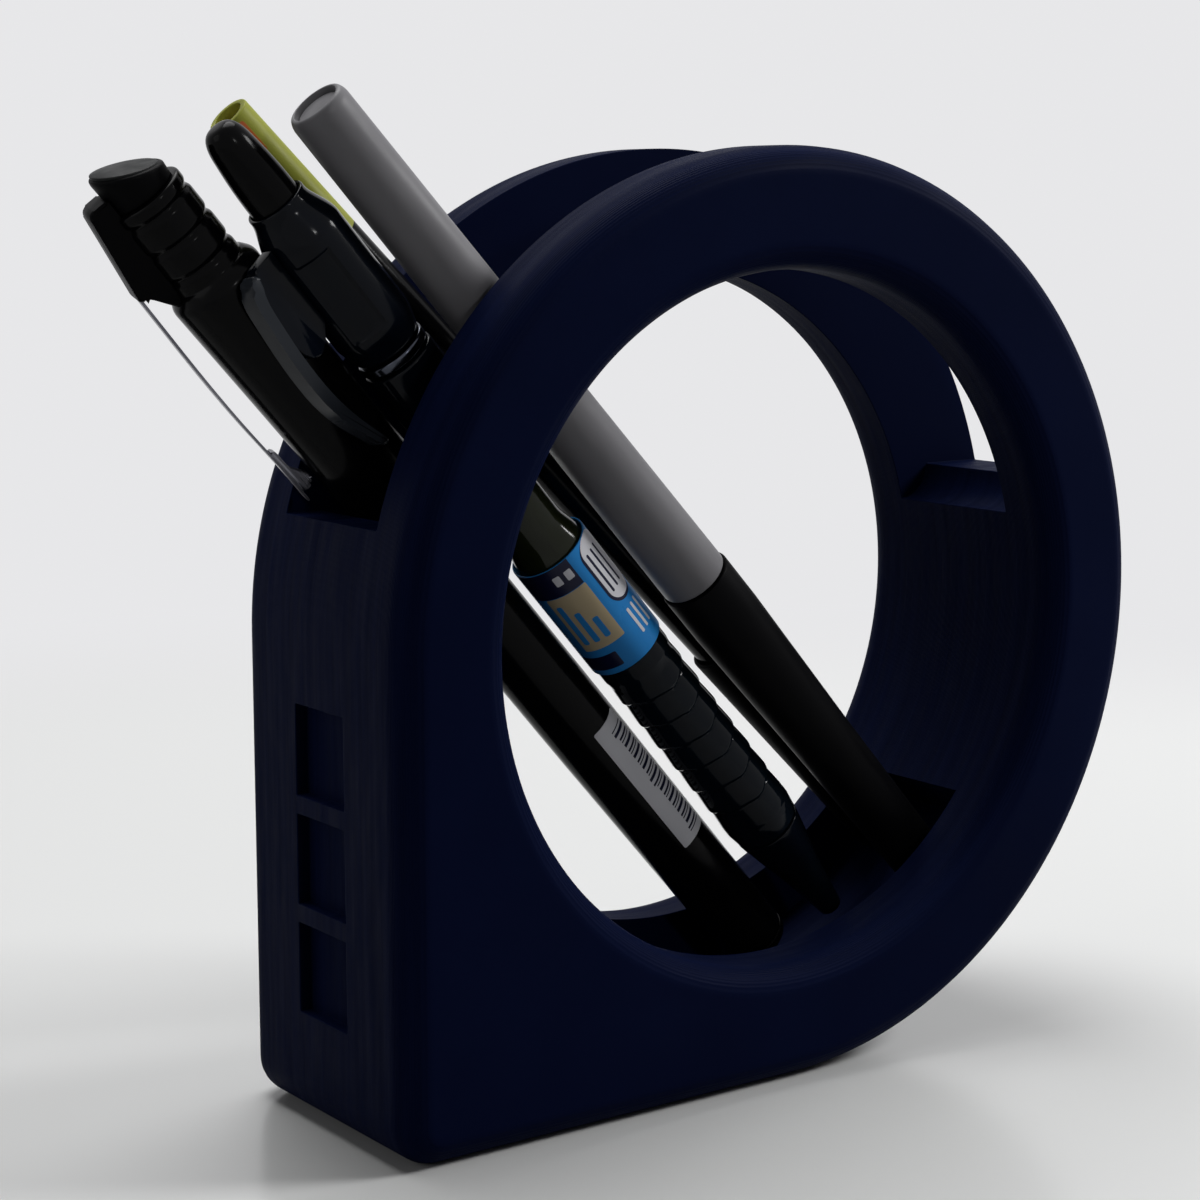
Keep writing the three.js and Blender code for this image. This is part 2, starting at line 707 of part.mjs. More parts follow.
// The gel pen's clip: rooted on the upper barrel and bowed over the neck
const gel_clip_group = new THREE.Group();
gel_clip_group.rotation.z = Math.PI + rad(gel.clip_turn_deg);
gel_pen.add(gel_clip_group);
const gel_clip_top = gel_barrel_top - gel.clip_top_inset;
const gel_clip_low = gel_clip_top - gel.clip_length;
const gel_clip_root = gel.barrel_radius + touch_gap;
const gel_clip_in = gel.clip_reach - gel.clip_thickness;
const clip_height = (share) => gel_clip_low + gel.clip_length * share;
const [clip_sweep, clip_bow, clip_shoulder] = gel.clip_height_shares.map(clip_height);
add(gel_clip_group, 'gel_clip', plate([
  new THREE.Vector2(gel.clip_end_reach, gel_clip_top),
  new THREE.Vector2(gel.clip_shoulder_reach, clip_shoulder),
  new THREE.Vector2(gel.clip_reach, clip_bow),
  new THREE.Vector2(gel.clip_reach, clip_sweep),
  new THREE.Vector2(gel.clip_end_reach, gel_clip_low),
  new THREE.Vector2(gel.clip_end_reach - gel.clip_thickness / 2, gel_clip_low),
  new THREE.Vector2(gel_clip_in, clip_sweep),
  new THREE.Vector2(gel_clip_in, clip_bow),
  new THREE.Vector2(gel_clip_root, gel_clip_top - gel.clip_root_height),
  new THREE.Vector2(gel_clip_root, gel_clip_top),
], gel.clip_width), clear_plastic);

// Marker
const marker_y = marker.cap_radius + marker.side_gap - slot_width / 2;
const marker_crossing = gel_crossing + marker.lead;
const marker_reach = reach_to_floor(marker_crossing, marker.lean_deg, marker.cap_end_radius);
const marker_pen = pen_group(marker_crossing, marker_y, marker.lean_deg, marker_reach);

add(marker_pen, 'marker_cap', turned([
  [0, 0],
  [marker.cap_end_radius, 0],
  [marker.cap_end_radius + marker.cap_round / 2, marker.cap_round],
  [marker.cap_waist_radius, marker.cap_taper],
  [marker.cap_radius, marker.cap_length - marker.cap_straight],
  [marker.cap_radius, marker.cap_length],
  [marker.cap_bore, marker.cap_length],
  [marker.cap_bore, marker.cap_step],
  [marker.cap_nose_bore, marker.cap_step],
  [marker.cap_nose_bore, marker.cap_floor],
  [0, marker.cap_floor],
]), black_plastic);

const marker_barrel_low = marker.cap_length + touch_gap;
const marker_lip = marker.length - marker.barrel_round;
add(marker_pen, 'marker_barrel', tube([
  [marker.barrel_radius, marker_barrel_low],
  [marker.barrel_end_radius, marker_lip],
  [marker.barrel_lip_radius, marker.length],
], [
  [marker.barrel_bore - touch_gap, marker.length],
  [marker.barrel_bore, marker_lip],
  [marker.barrel_bore, marker_barrel_low],
]), grey_plastic);

const marker_plug_radius = marker.barrel_bore - touch_gap - touch_gap;
const marker_plug_top = marker.length - marker.end_plug_inset;
const marker_plug_low = marker_plug_top - marker.end_plug_length;
add(marker_pen, 'marker_end_plug', spindle([
  [marker_plug_radius, marker_plug_low],
  [marker_plug_radius, marker_plug_top],
]), grey_plastic);

const marker_reservoir_low = marker_barrel_low + touch_gap;
add(marker_pen, 'marker_reservoir', spindle([
  [marker.barrel_bore - touch_gap, marker_reservoir_low],
  [marker.barrel_bore - touch_gap, marker_plug_low - marker.reservoir_room],
], inner_sides), felt);

const marker_section_top = marker.cap_length;
const marker_section_low = marker_section_top - marker.section_length;
add(marker_pen, 'marker_section', spindle([
  [marker.section_nose_radius, marker_section_low],
  [marker.section_radius, marker_section_top - marker.section_straight],
  [marker.section_radius, marker_section_top],
], inner_sides), black_satin);

const marker_nib_top = marker_section_low - touch_gap;
add(marker_pen, 'marker_nib', spindle([
  [marker.nib_tip_radius, marker_nib_top - marker.nib_length],
  [marker.nib_radius, marker_nib_top - marker.nib_length / 2],
  [marker.nib_radius, marker_nib_top],
], inner_sides), felt);

// Stick pen
const stick_y = slot_width / 2 - stick.cap_radius - stick.side_gap;
const stick_crossing = marker_crossing + stick.lead;
const stick_reach = reach_to_floor(stick_crossing, stick.lean_deg, stick.cap_radius - stick.cap_round);
const stick_pen = pen_group(stick_crossing, stick_y, stick.lean_deg, stick_reach);
const stick_bore_radius = stick.cap_radius - stick.cap_wall;

add(stick_pen, 'stick_cap', turned([
  [0, 0],
  [stick.cap_radius - stick.cap_round, 0],
  [stick.cap_radius, stick.cap_round],
  [stick.cap_radius, stick.cap_length],
  [stick_bore_radius, stick.cap_length],
  [stick_bore_radius, stick.cap_floor],
  [0, stick.cap_floor],
]), black_plastic);

const stick_barrel_low = stick.cap_length - stick.barrel_tongue;
add(stick_pen, 'stick_barrel', tube([
  [stick.barrel_tongue_radius, stick_barrel_low],
  [stick.barrel_tongue_radius, stick.cap_length + touch_gap],
  [stick.barrel_radius, stick.cap_length + touch_gap],
  [stick.barrel_radius, stick.length],
], [
  [stick.barrel_bore, stick.length],
  [stick.barrel_bore, stick_barrel_low],
]), yellow_plastic);

const stick_plug_top = stick.length - stick.end_plug_inset;
const stick_plug_low = stick_plug_top - stick.end_plug_length;
add(stick_pen, 'stick_end_plug', spindle([
  [stick.barrel_bore - touch_gap, stick_plug_low],
  [stick.barrel_bore - touch_gap, stick_plug_top],
], inner_sides), orange_plastic);

add(stick_pen, 'stick_refill', spindle([
  [stick.refill_radius, stick_barrel_low],
  [stick.refill_radius, stick_plug_low - stick.refill_room],
], inner_sides), ink_tube);

const stick_point_top = stick_barrel_low - touch_gap;
add(stick_pen, 'stick_point', spindle([
  [stick.point_tip_radius, stick_point_top - stick.point_length],
  [stick.point_radius, stick_point_top],
], inner_sides), brass);

export default holder;
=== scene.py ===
import json
from math import asin, atan2, cos, degrees, pi, radians, sin, sqrt, tan, tau
from types import SimpleNamespace
import bmesh
import bpy
from mathutils import Matrix, Vector


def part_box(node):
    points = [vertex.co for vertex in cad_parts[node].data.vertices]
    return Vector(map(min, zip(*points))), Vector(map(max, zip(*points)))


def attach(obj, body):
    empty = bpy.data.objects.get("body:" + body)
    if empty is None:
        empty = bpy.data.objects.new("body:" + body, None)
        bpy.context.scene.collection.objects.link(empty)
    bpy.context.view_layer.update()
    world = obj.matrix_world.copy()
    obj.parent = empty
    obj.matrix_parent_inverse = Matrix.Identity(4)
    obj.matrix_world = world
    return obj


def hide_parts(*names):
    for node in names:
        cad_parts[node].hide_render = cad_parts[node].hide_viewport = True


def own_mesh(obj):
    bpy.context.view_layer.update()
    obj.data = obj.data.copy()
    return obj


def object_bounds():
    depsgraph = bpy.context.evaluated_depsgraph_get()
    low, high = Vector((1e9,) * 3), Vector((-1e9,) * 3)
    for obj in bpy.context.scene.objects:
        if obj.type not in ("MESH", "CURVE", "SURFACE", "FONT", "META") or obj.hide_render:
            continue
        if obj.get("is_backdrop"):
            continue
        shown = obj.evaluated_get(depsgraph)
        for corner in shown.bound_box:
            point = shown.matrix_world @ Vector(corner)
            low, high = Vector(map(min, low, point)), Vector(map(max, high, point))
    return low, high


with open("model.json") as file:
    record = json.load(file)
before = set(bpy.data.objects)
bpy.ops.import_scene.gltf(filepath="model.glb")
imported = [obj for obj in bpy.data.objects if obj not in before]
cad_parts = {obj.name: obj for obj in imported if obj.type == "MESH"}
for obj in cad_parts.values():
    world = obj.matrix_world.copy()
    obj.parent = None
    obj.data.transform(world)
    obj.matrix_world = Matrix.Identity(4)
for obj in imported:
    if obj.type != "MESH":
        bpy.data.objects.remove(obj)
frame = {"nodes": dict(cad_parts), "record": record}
cad_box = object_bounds()
scene = bpy.context.scene
mm = 0.001

# Holder sizes, in millimetres and degrees
RING_RADIUS = 62.5
HOLE_RADIUS = 46.5
HOLDER_WIDTH = 40
SLOT_WIDTH = 22
EDGE_FILLET = 4
FOOT_CORNER = 5.5
LEDGE_RISE = 16
CHANNEL_WALL = 7.5
CHANNEL_RADIUS = RING_RADIUS - CHANNEL_WALL
CHANNEL_END = 38.4
COVE_RADIUS = 5
RECESS_SIDE = 11.8
RECESS_DEPTH = 1.8
RECESS_PITCH = 14.25
RECESS_DROP = 13.4
RECESS_COUNT = 3
RIM_BEVEL = 0.35
OVERRUN = 3
RING_CENTRE = Vector(((RING_RADIUS - FOOT_CORNER) / 2, 0, RING_RADIUS))

# Fits
GAP = 0.35  # between pieces that rest on or screw into each other
SLIDE = 0.4  # between pieces that slide in each other

# Fillets, from the crispest edge to the softest
HAIR = 0.1
THIN = 0.15
CRISP = 0.2
LIGHT = 0.25
SMALL = 0.3
MILD = 0.4
SOFT = 0.5
FULL = 1

# How far a mark on the label stands out of its film
ON_FILM = 0.03
ON_MARK = 0.05
ON_BADGE = 0.07

# Fineness
ARC_STEP = 1.5
CORNER_STEP = 0.4
FILLET_STEPS = 8
ROUND_STEPS = 5
CHANNEL_STEPS = 120
COVE_STEPS = 48
BEVEL_STEPS = 3
WELD = 0.02
PEN_SIDES = 72
TUBE_SIDES = 48
POINT_SIDES = 32
PATCH_COLUMNS = 24
SHARP = radians(32)

# Capped roller pen: sizes in millimetres, turns round the pen in degrees
ROLLER = SimpleNamespace(
    length=148.1,
    tail_radius=4.85, tail_round=0.6, tail_head=1.7, tail_spigot=3.8,
    barrel_radius=5.1, barrel_bore=4, barrel_taper=45,
    section_radius=4.3, section_nose=1.9, section_straight=9, section_length=20, section_round=2,
    point_radius=0.95, point_tip=0.35, point_straight=0.85, point_length=2.8, point_dome=0.25,
    cap_radius=5.8, cap_wall=0.75, cap_length=59.7, cap_tongue=9, cap_roof=3,
    cap_waist_radius=5.85, cap_waist_height=104, cap_sweep=12,
    cap_top_radius=6.3, cap_top_drop=1.45, cap_top_round=0.7,
    ledge_radius=5.4, ledge_drop=0.25,
    neck_radius=5, neck_length=12.2, neck_rise=0.05,
    groove_count=3, groove_radius=4.6, groove_half=0.7,
    peg_radius=2.4, peg_length=3,
    crown_height=4.6, crown_seat=0.05, crown_foot_radius=4.1, crown_radius=4.25, crown_wall=3.3,
    crown_lid_radius=3.6, crown_lid=3.55, crown_slant=22, crown_slant_run=3,
    disc_radius=3.75, disc_low=3.4, disc_rim=3.75, disc_crest_radius=2.4, disc_crest=4, disc_top=4.15,
    clip_turn=180 - 15,
    block_width=4.2, block_height=9.5, block_rise=2.75, block_reach=8.8, block_heel_reach=7.75,
    block_heel_drop=0.95, block_top_reach=6.9, block_top_round=0.9,
    block_root_radius=4.3, block_root_drop=0.45, block_neck_radius=4, block_neck_drop=0.15,
    strip_width=2.2, strip_edge=0.08, strip_thickness=0.35, strip_root_reach=8.25, strip_sink=0.15,
    strip_bow_reach=8.75, strip_bow_height=117, strip_bow_sweep=12,
    strip_toe_reach=8.3, strip_toe_height=104.8, strip_toe_sweep=4, strip_end=99.8,
    bead_width=1.6,
    sticker_low=24.4, sticker_high=48.2, sticker_turns=(-105, -44), sticker_sink=0.02, sticker_half=0.09,
    bar_count=28, bar_margin=1.2, bar_module=0.16, bar_gap=0.3, bar_gap_step=0.14, bar_end=-46,
    bar_start=-76, guard_start=-80, guards=(0, 1, 13, 14, 26, 27), bar_lift=0.04, bar_half=0.06,
    bar_columns=12,
)
ROLLER.barrel_start = ROLLER.tail_head + GAP
ROLLER.cap_mouth = ROLLER.length - GAP - ROLLER.cap_length
ROLLER.cap_bore = ROLLER.cap_radius - ROLLER.cap_wall
ROLLER.cap_top = ROLLER.length - GAP - ROLLER.crown_height
ROLLER.neck_start = ROLLER.cap_top - ROLLER.neck_length
ROLLER.barrel_end = ROLLER.cap_mouth + ROLLER.cap_tongue
ROLLER.section_start = ROLLER.barrel_end + GAP
ROLLER.section_end = ROLLER.section_start + ROLLER.section_length

# The roller clip's bead from the side: reach from the pen's axis, rise above the strip's end, fillet
BEAD = [
    (8.4, 8.4, SOFT), (7.75, 7.8, MILD), (7.7, 4.8, 0.8), (6.25, 2.6, FULL),
    (6.3, 1.6, 0.7), (7.6, 1.1, 0.6), (8.4, 1.4, SMALL),
]

# Retractable gel pen
GEL = SimpleNamespace(
    nose_tip_radius=1.7, nose_waist_radius=2.8, nose_waist_height=7.8, nose_waist_sweep=3,
    nose_shoulder_radius=4.55, nose_shoulder_height=16.5, nose_shoulder_sweep=1.5,
    nose_radius=4.9, nose_length=18.7, nose_bore=3, nose_seat=13,
    nose_throat=2.05, nose_throat_height=6.5, nose_mouth=1, nose_mouth_length=1.2,
    bottle_radius=5, bottle_crest_radius=5.2, bottle_bore=3.6, bottle_base=2.2, bottle_ribbed=34.7,
    bottle_rows=240, bottle_sides=96, bottle_neck_radius=4.3, bottle_neck_length=8.5,
    bottle_shoulder=3, bottle_shoulder_round=1.4,
    rib_start=0.65, rib_pitch=4.55, rib_count=7, rib_depth=0.4, rib_rise=0.14, rib_taper=0.75,
    rib_taper_power=1.5, rib_fade=1.5, rib_wavers=((3, 0.05), (7, 0.03)),
    label_radius=5.55, label_thickness=0.2, label_length=19, label_lap=1, label_seam=0.1,
    neck_cap_radius=4.9, neck_cap_length=22,
    collar_radius=4.75, collar_length=1.4,
    barrel_foot_radius=4.6, barrel_foot_round=0.7, barrel_radius=5.4, barrel_length=23.3,
    barrel_swell_radius=5.35, barrel_swell=3, barrel_swell_round=1.2, barrel_shoulder=3.5,
    barrel_taper=3.6, barrel_taper_round=1.8, barrel_mouth_radius=3.95, barrel_mouth_length=1.2,
    barrel_mouth_round=0.8, barrel_lip_round=0.35, barrel_mouth_bore=3.5, barrel_bore=3.75,
    barrel_sides=180,
    grip_start=3.6, grip_length=13.6, grip_rows=68, panel_start=4.2, panel_length=12.4,
    panel_half_turn=27.5, panel_depth=0.28, panel_turns=(-122, 58), panel_end_slope=8, panel_side=2.6,
    panel_least_radius=5.2,
    clip_turn=180 + 11, arm_width=2.5, web_width=2.2,
    button_radius=3.35, button_straight=7, button_sweep=4, button_neck_radius=2.65, button_round=1.6,
    button_neck_round=1.4, button_top_radius=1.7, button_show=11.4, button_dome=0.05,
    click_travel=3.5, plunger_radius=2.3, plunger_length=17,
    point_inset=0.8, point_tip=0.35, point_radius=0.6, point_cone=0.8, point_nib=6.7,
    point_shoulder_radius=1.3, point_shoulder=0.8, point_length=9.2,
    refill_radius=2.8, refill_stem_radius=1.5, refill_stem=10.7, refill_end=104.2,
    spring_radius=2.2, spring_wire=0.28, spring_turns=6, spring_steps=24, spring_wire_sides=10,
    spring_kept=0.52,
)
GEL.bottle_start = GEL.nose_length + GAP
GEL.ribs_low = GEL.bottle_start + GEL.bottle_base
GEL.label_low = GEL.ribs_low + GEL.bottle_ribbed + GAP
GEL.label_high = GEL.label_low + GEL.label_length
GEL.shoulder_low = GEL.label_high + GAP
GEL.shoulder_high = GEL.shoulder_low + GEL.bottle_shoulder
GEL.bottle_end = GEL.shoulder_high + GEL.bottle_neck_length
GEL.neck_cap_start = GEL.bottle_end + GAP
GEL.neck_cap_end = GEL.neck_cap_start + GEL.neck_cap_length
GEL.collar_start = GEL.neck_cap_end + GAP
GEL.collar_end = GEL.collar_start + GEL.collar_length
GEL.barrel_start = GEL.collar_end + GAP
GEL.barrel_end = GEL.barrel_start + GEL.barrel_length
GEL.point_end = GEL.point_inset + GEL.point_length
GEL.refill_start = GEL.point_end + GAP
GEL.refill_step = GEL.refill_start + GEL.refill_stem

# The gel clip from the side: reach from the pen's axis, height up the pen, fillet
CLIP_ARM = [
    (9.7, 131.6, 1.2), (11.9, 129.7, 2.5), (13.3, 119.4, 8), (13.2, 111.5, 6), (10.2, 103.9, SOFT),
    (9.2, 103.9, MILD), (11.4, 111.5, 5), (11.6, 119.4, 7), (10.4, 128.4, 2), (8.9, 130.6),
]
CLIP_WEB = [
    (5.35, 131.6), (8.8, 131.6, SOFT), (10.6, 129.2, 1.5), (11.5, 120, 2), (9, 117.5, 2), (5.5, 120.5),
]

# Marker, stored cap down
MARKER = SimpleNamespace(
    length=147.3,
    cap_length=63, cap_radius=5.05, cap_waist_radius=4.4, cap_taper=29, cap_straight=8,
    cap_foot_radius=3.95, cap_end_radius=3.3, cap_round=1.2, cap_foot_sweep=0.8,
    cap_bore=4.35, cap_step=36, cap_nose_bore=2.4, cap_floor=8,
    barrel_radius=4.75, barrel_end_radius=3.98, barrel_end_drop=1, barrel_bore=3.3, barrel_bore_end=140,
    lip_radius=3.6, lip_drop=0.1, lip_inner_radius=3.1, mouth_radius=2.95, mouth_drop=0.5,
    plug_start=140.4, plug_radius=2.6, plug_top_radius=2.85, plug_side=6.2, plug_dome=0.15,
    section_radius=3.95, section_nose=2, section_straight=14, section_length=23,
    nib_radius=1, nib_tip=0.45, nib_length=8, nib_taper=4,
)
MARKER.barrel_start = MARKER.cap_length + GAP
MARKER.section_start = MARKER.cap_length - MARKER.section_length

# Slim stick pen, stored cap down
STICK = SimpleNamespace(
    length=150.2,
    cap_length=45, cap_radius=3.5, cap_wall=0.45, cap_round=0.8, cap_floor=9,
    barrel_radius=2.8, barrel_bore=2, tongue_radius=2.55, tongue_length=22, top_length=20.7,
    mark_turns=(-112, -93), mark_length=4.9, mark_drop=0.8,
    plug_inset=2, plug_length=6,
    refill_radius=1.4, refill_room=19.2,
    point_radius=1.5, point_tip=0.4, point_length=8, point_waist_radius=0.7, point_waist=2.85,
)
STICK.barrel_start = STICK.cap_length - STICK.tongue_length
STICK.plug_end = STICK.length - STICK.plug_inset
STICK.plug_start = STICK.plug_end - STICK.plug_length
STICK.top_start = STICK.length - STICK.top_length

# Camera, in the part's frame
CAMERA_PLACE = Vector((-191.6, -276.6, 117.2))
CAMERA_YAW = 36
CAMERA_PITCH = -8.67
CAMERA_LENS = 77.575
CAMERA_SENSOR = 36

# Every pen: a node whose middle lies on its axis, that middle's height above the
# pen's lower end, and the pen's lean in degrees
PENS = {
    "roller": ("roller_reservoir", 47.85, 48.5),
    "gel": ("gel_collar", 110.55, 48.5),
    "marker": ("marker_reservoir", 98.7, 47),
    "stick": ("stick_refill", 73, 44),
}


# Node materials

# Noises: stretch along x, y and z, scale per metre and, for the streaks, detail
TONE = ((1, 1, 0.3), 160)
GLOSS = ((1, 1, 0.2), 420)
GRAIN = ((1, 1, 1), 900)
STREAKS = ((25, 900, 25), 1, 4)
LAYER_GLOSS = ((60, 700, 60), 1)
MOTTLE = ((1, 1, 1), 700)
METAL_TONE = ((1, 1, 0.1), 900)
METAL_GLOSS = ((1, 1, 0.05), 2500)
FIBRES = ((1, 1, 0.15), 3000)

# Print layers' waves per metre, and reliefs in metres
LAYER_WAVES = 1256
LAYER_RELIEF = 0.000035
STREAK_RELIEF = 0.00009
MOTTLE_RELIEF = 0.00003
GRAIN_RELIEF = 0.00001
FIBRE_RELIEF = 0.0001

# The part of a noise's range that its values mostly fill
NOISE_LOW = 0.3
NOISE_HIGH = 0.7


def add(tree, kind, inputs=None, **settings):
    node = tree.nodes.new(kind)
    for name, value in settings.items():
        setattr(node, name, value)
    for name, value in (inputs or {}).items():
        socket = node.inputs[name]
        if isinstance(value, bpy.types.NodeSocket):
            tree.links.new(value, socket)
        else:
            socket.default_value = value
    return node


def new_look(name, roughness, metallic=0, specular=0.5, transmission=0, ior=1.5):
    look = bpy.data.materials.new(name)
    look.use_nodes = True
    tree = look.node_tree
    shader = tree.nodes["Principled BSDF"]
    values = {"Roughness": roughness, "Metallic": metallic, "Specular IOR Level": specular,
              "Transmission Weight": transmission, "IOR": ior}
    for socket, value in values.items():
        shader.inputs[socket].default_value = value
    return look, tree, shader


def place_of(tree, stretch=(1, 1, 1)):
    """Object coordinates in metres, stretched along each axis"""
    coords = add(tree, "ShaderNodeTexCoord")
    mapping = add(tree, "ShaderNodeMapping", {"Vector": coords.outputs["Object"], "Scale": stretch})
    return mapping.outputs["Vector"]


def noise(tree, stretch, scale, detail=3):
    inputs = {"Vector": place_of(tree, stretch), "Scale": scale, "Detail": detail}
    return add(tree, "ShaderNodeTexNoise", inputs).outputs["Fac"]


def gloss(tree, shader, factor, low, high):
    """A roughness that runs from low to high as factor runs over a noise's usual span"""
    inputs = {"Value": factor, "From Min": NOISE_LOW, "From Max": NOISE_HIGH, "To Min": low, "To Max": high}
    rough = add(tree, "ShaderNodeMapRange", inputs).outputs["Result"]
    tree.links.new(rough, shader.inputs["Roughness"])


def tones(tree, shader, factor, dark, light):
    ramp = add(tree, "ShaderNodeValToRGB", {"Fac": factor})
    for stop, place, tone in zip(ramp.color_ramp.elements, (NOISE_LOW, NOISE_HIGH), (dark, light)):
        stop.position = place
        stop.color = (*tone, 1)
    tree.links.new(ramp.outputs["Color"], shader.inputs["Base Color"])


def bump(tree, shader, height, distance, strength=1, under=None):
    inputs = {"Height": height, "Distance": distance, "Strength": strength}
    if under is not None:
        inputs["Normal"] = under
    node = add(tree, "ShaderNodeBump", inputs)
    tree.links.new(node.outputs["Normal"], shader.inputs["Normal"])
    return node.outputs["Normal"]


def plastic(name, dark, light, roughness, specular, transmission, ior):
    """Moulded plastic: slight tone and gloss changes and a very fine grain"""
    look, tree, shader = new_look(name, roughness, 0, specular, transmission, ior)
    tones(tree, shader, noise(tree, *TONE), dark, light)
    gloss(tree, shader, noise(tree, *GLOSS), roughness * 0.8, roughness * 1.25)
    bump(tree, shader, noise(tree, *GRAIN), GRAIN_RELIEF)
    return look


def navy_print():
    """Layered print: layers stacked along Y, with uneven lines and a matt, mottled skin"""
    look, tree, shader = new_look("navy_print", 0.55, specular=0.16, ior=1.13)
    streaks = noise(tree, *STREAKS)
    tones(tree, shader, streaks, (0.0012, 0.003, 0.0165), (0.0024, 0.005, 0.0245))
    gloss(tree, shader, noise(tree, *LAYER_GLOSS), 0.46, 0.62)
    waves = {"Vector": place_of(tree), "Scale": LAYER_WAVES, "Distortion": 0.6}
    layers = add(tree, "ShaderNodeTexWave", waves, bands_direction="Y", wave_profile="SIN")
    mottle = bump(tree, shader, noise(tree, *MOTTLE), MOTTLE_RELIEF, 0.5)
    coarse = bump(tree, shader, streaks, STREAK_RELIEF, 0.8, mottle)
    bump(tree, shader, layers.outputs["Fac"], LAYER_RELIEF, 0.8, coarse)
    return look


def metal(name, dark, light, roughness):
    look, tree, shader = new_look(name, roughness, metallic=1)
    tones(tree, shader, noise(tree, *METAL_TONE), dark, light)
    gloss(tree, shader, noise(tree, *METAL_GLOSS), roughness * 0.7, roughness * 1.4)
    return look


def felt():
    look, tree, shader = new_look("felt", 0.95, specular=0.1)
    fibres = noise(tree, *FIBRES)
    tones(tree, shader, fibres, (0.55, 0.53, 0.48), (0.78, 0.76, 0.7))
    bump(tree, shader, fibres, FIBRE_RELIEF)
    return look


# Plastics: darkest tone, lightest tone, roughness, specular level, transmission, refraction
PLASTICS = {
    "black_gloss": ((0.0012, 0.0012, 0.0016), (0.0025, 0.0025, 0.003), 0.16, 0.25, 0, 1.2),
    "black_satin": ((0.0012, 0.0012, 0.0016), (0.0025, 0.0025, 0.003), 0.42, 0.3, 0, 1.12),
    # Painted reflection: the black crown top painted grey for the bright sky it mirrors
    "crown_painted_reflection": ((0.014, 0.015, 0.0155), (0.022, 0.023, 0.0235), 0.5, 0.5, 0, 1.15),
    "grey_satin": ((0.145, 0.142, 0.152), (0.185, 0.182, 0.192), 0.42, 0.5, 0, 1.25),
    "smoke_clear": ((0.0015, 0.0025, 0.005), (0.003, 0.005, 0.01), 0.12, 0.16, 0.15, 1.28),
    "tinted_clear": ((0.0015, 0.003, 0.006), (0.004, 0.008, 0.013), 0.1, 0.16, 0.15, 1.28),
    "olive_clear": ((0.008, 0.011, 0.003), (0.022, 0.027, 0.008), 0.1, 0.3, 0.3, 1.3),
    # Painted highlight: a pale, opaque copy of the clip's tinted clear plastic for its lit outer edge
    "painted_highlight_clear": ((0.015, 0.018, 0.023), (0.026, 0.03, 0.037), 0.22, 0.25, 0, 1.3),
    "label_film": ((0.02, 0.21, 0.56), (0.03, 0.26, 0.66), 0.3, 0.3, 0, 1.25),
    "label_white": ((0.66, 0.66, 0.7), (0.76, 0.76, 0.8), 0.35, 0.5, 0, 1.25),
    "label_navy": ((0.003, 0.004, 0.02), (0.005, 0.006, 0.03), 0.35, 0.5, 0, 1.25),
    "label_tan": ((0.46, 0.37, 0.23), (0.56, 0.46, 0.29), 0.35, 0.5, 0, 1.25),
    "yellow_clear": ((0.31, 0.33, 0.045), (0.42, 0.44, 0.07), 0.4, 0.5, 0.2, 1.18),
    "orange_satin": ((0.5, 0.1, 0.02), (0.65, 0.15, 0.03), 0.35, 0.5, 0, 1.5),
    "ink_tube": ((0.008, 0.01, 0.018), (0.014, 0.017, 0.028), 0.2, 0.5, 0, 1.5),
}

# Metals: darkest tone, lightest tone, roughness
METALS = {
    "bright_metal": ((0.28, 0.29, 0.31), (0.42, 0.43, 0.46), 0.25),
    # Painted shade: a darkened copy of the bright metal, for the roller clip's strip and bead
    "painted_shade_metal": ((0.09, 0.09, 0.105), (0.16, 0.16, 0.18), 0.3),
    # Painted shade: the chrome collar darkened to look as dim as it shows
    "collar_painted_shade_metal": ((0.03, 0.034, 0.045), (0.06, 0.065, 0.08), 0.16),
    "brass": ((0.4, 0.25, 0.07), (0.52, 0.34, 0.11), 0.25),
}

LOOKS = {"navy_print": navy_print(), "felt": felt()}
LOOKS.update({name: plastic(name, *finish) for name, finish in PLASTICS.items()})
LOOKS.update({name: metal(name, *finish) for name, finish in METALS.items()})


def finish_nodes():
    """Every CAD node takes its slot's material"""
    for row in frame["record"]["subparts"]:
        node = frame["nodes"][row["node"]]
        look = LOOKS[row["material_slot"]]
        node.data.materials.clear()
        node.data.materials.append(look)


# Mesh helpers

def new_object(name, data):
    obj = bpy.data.objects.new(name, data)
    scene.collection.objects.link(obj)
    return obj


def new_mesh(name, bm):
    mesh = bpy.data.meshes.new(name)
    bmesh.ops.recalc_face_normals(bm, faces=bm.faces)
    bm.to_mesh(mesh)
    bm.free()
    return mesh


def piece(name, bm, look, body, slot, place=Matrix.Identity(4), replaced=()):
    mesh = new_mesh(name, bm)
    mesh.materials.append(LOOKS[look])
    mesh.polygons.foreach_set("use_smooth", [True] * len(mesh.polygons))
    mesh.set_sharp_from_angle(angle=SHARP)
    obj = new_object(name, mesh)
    obj.matrix_world = place
    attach(obj, body)
    if replaced:
        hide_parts(*replaced)
    return obj


def rounded(corners, closed=False):
    """An outline from corners (a, b) or (a, b, fillet)"""
    points = []
    last = len(corners) - 1
    for i, (a, b, *fillet) in enumerate(corners):
        here = Vector((a, b))
        if not fillet or (not closed and i in (0, last)):
            points.append(here)
            continue
        before = Vector(corners[i - 1][:2]) - here
        after = Vector(corners[(i + 1) % len(corners)][:2]) - here
        start = here + before.normalized() * min(fillet[0], before.length / 2)
        end = here + after.normalized() * min(fillet[0], after.length / 2)
        for k in range(ROUND_STEPS + 1):
            t = k / ROUND_STEPS
            points.append(start * (1 - t) ** 2 + here * 2 * t * (1 - t) + end * t ** 2)
    return points


def spot(r, turn, z):
    """A point in metres, from its radius, turn and height round z in millimetres"""
    return r * cos(turn) * mm, r * sin(turn) * mm, z * mm


